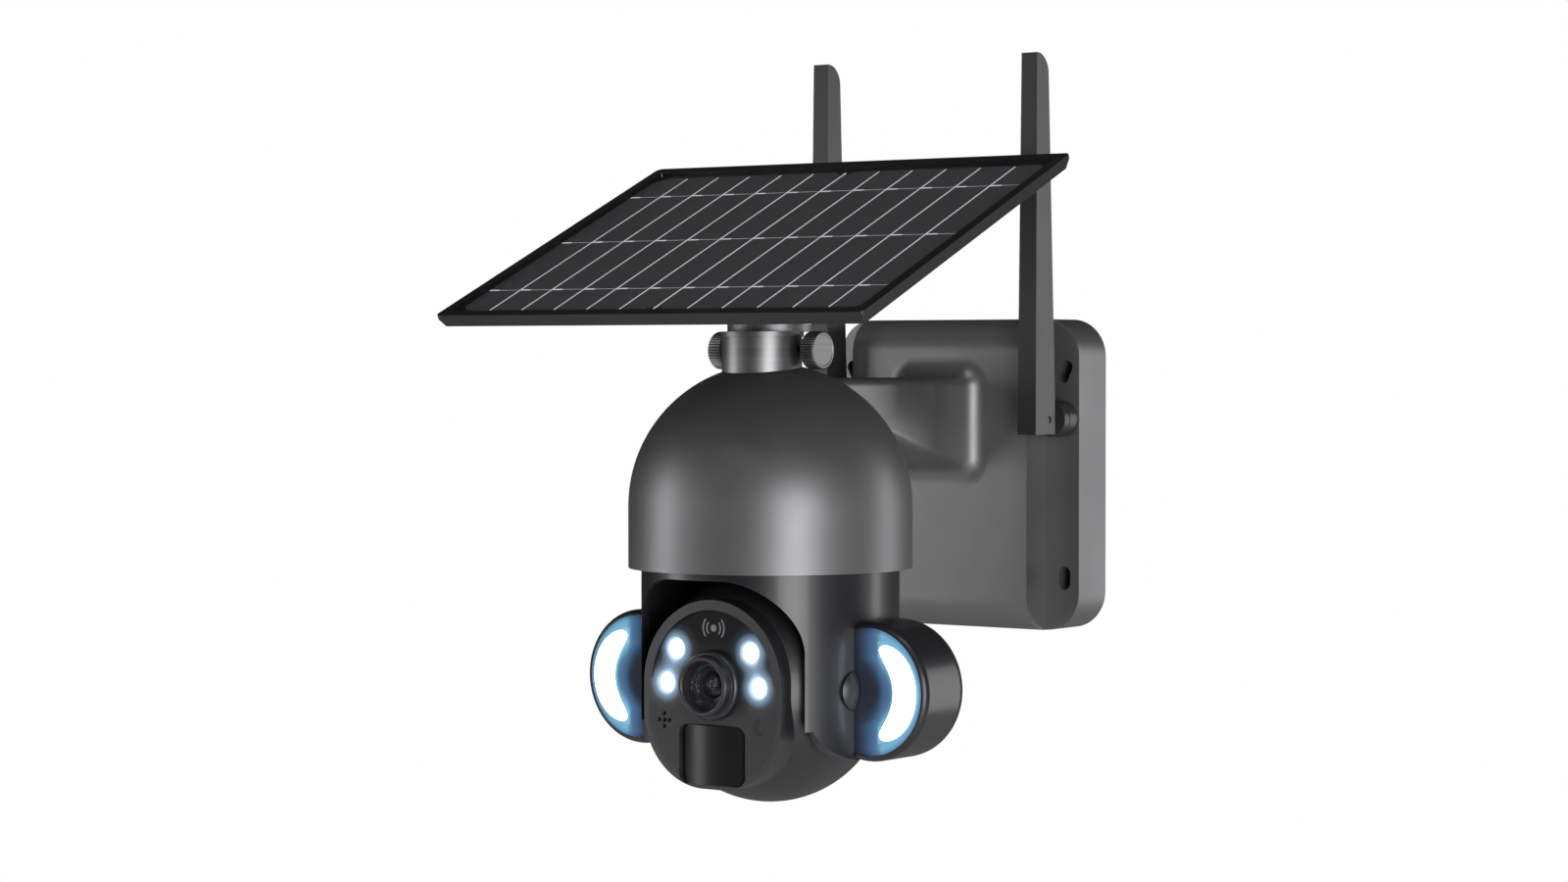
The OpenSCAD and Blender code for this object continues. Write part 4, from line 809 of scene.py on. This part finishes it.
def studio_direction(degrees_right, degrees_up=0.0):
    """A direction from the object: 0 is towards the camera, and it turns to the camera's right."""
    turn, up = CAMERA_AZIMUTH + math.radians(degrees_right), math.radians(degrees_up)
    return Vector((math.sin(turn) * math.cos(up), -math.cos(turn) * math.cos(up), math.sin(up)))


def softbox(name, degrees_right, degrees_up, distance, width, height, power):
    """A rectangular area light that faces the object."""
    light = bpy.data.lights.new(name, "AREA")
    light.shape = "RECTANGLE"
    light.size = width
    light.size_y = height
    light.energy = power
    lamp = bpy.data.objects.new(name, light)
    direction = studio_direction(degrees_right, degrees_up)
    lamp.location = AIM + distance * direction
    lamp.rotation_euler = (-direction).to_track_quat("-Z", "Y").to_euler()
    bpy.context.scene.collection.objects.link(lamp)


def soft_lights():
    """Five softboxes: a key from the front, a strip on each side, a weak fill and one from above."""
    softbox("key", 20, -4, 1.7, 0.80, 1.00, 23)
    softbox("left_strip", -90, -4, 1.2, 0.35, 0.90, 5.5)
    softbox("right_strip", 106, -4, 1.5, 0.35, 1.10, 6)
    softbox("front_fill", -60, 2, 2.0, 0.5, 1.0, 1)
    softbox("high_front", -12, 62, 1.8, 0.8, 0.8, 10)


def white_surround():
    """A world that the camera sees as white and that lights the object only a little."""
    world = bpy.data.worlds.new("studio")
    bpy.context.scene.world = world
    world.use_nodes = True
    tree = world.node_tree
    tree.nodes.clear()
    place = tree.nodes.new("ShaderNodeTexCoord")
    parts = tree.nodes.new("ShaderNodeSeparateXYZ")
    tree.links.new(place.outputs["Generated"], parts.inputs[0])
    ramp = tree.nodes.new("ShaderNodeValToRGB")
    for element, (position, level) in zip(ramp.color_ramp.elements, ((0.35, 0.03), (0.80, 0.04))):
        element.position = position
        element.color = (level, level, level, 1)
    height = tree.nodes.new("ShaderNodeMapRange")
    height.inputs["From Min"].default_value = -1
    tree.links.new(parts.outputs["Z"], height.inputs["Value"])
    tree.links.new(height.outputs["Result"], ramp.inputs["Fac"])
    seen = tree.nodes.new("ShaderNodeBackground")
    lit = tree.nodes.new("ShaderNodeBackground")
    seen.inputs["Color"].default_value = (1, 1, 1, 1)
    tree.links.new(ramp.outputs["Color"], lit.inputs["Color"])
    path = tree.nodes.new("ShaderNodeLightPath")
    both = tree.nodes.new("ShaderNodeMixShader")
    tree.links.new(path.outputs["Is Camera Ray"], both.inputs[0])
    tree.links.new(lit.outputs[0], both.inputs[1])
    tree.links.new(seen.outputs[0], both.inputs[2])
    out = tree.nodes.new("ShaderNodeOutputWorld")
    tree.links.new(both.outputs[0], out.inputs[0])


def pale_floor():
    """A round floor well below the object, which hangs on a wall."""
    g = Graph("floor_white")
    pale = g.ramp(g.noise(3, 2), (0.3, (0.86, 0.86, 0.86)), (0.7, (0.90, 0.90, 0.90)))
    g.link(pale, g.shader.inputs["Base Color"])
    g.set(Roughness=0.9, Emission_Color=(1, 1, 1, 1), Emission_Strength=0.02)
    bm = bmesh.new()
    bmesh.ops.create_circle(bm, cap_ends=True, segments=96, radius=2.6)
    mesh = bpy.data.meshes.new("floor")
    bm.to_mesh(mesh)
    bm.free()
    mesh.materials.append(g.material)
    floor = bpy.data.objects.new("floor", mesh)
    floor.location = (PAN_AXIS.x, PAN_AXIS.y, -0.75)
    bpy.context.scene.collection.objects.link(floor)


def camera():
    """The camera, a little above the object and to its right."""
    data = bpy.data.cameras.new("camera")
    data.lens = 80.9
    data.sensor_width = 36.0
    eye = bpy.data.objects.new("camera", data)
    eye.location = CAMERA_AT
    eye.rotation_euler = (math.radians(90) - CAMERA_DIP, 0, CAMERA_AZIMUTH)
    bpy.context.scene.collection.objects.link(eye)
    bpy.context.scene.camera = eye
    bpy.context.scene.view_settings.view_transform = "Standard"


dress_nodes()
for rounding, names in ROUNDING.items():
    for node_name in names.split():
        soften(node_name, rounding)
arm()
solar_cells()
thumb_screws()
led_bezels()
face_seam()
lens_core()
light_sensor()
crescents()
wave_icon()
soft_lights()
white_surround()
pale_floor()
camera()
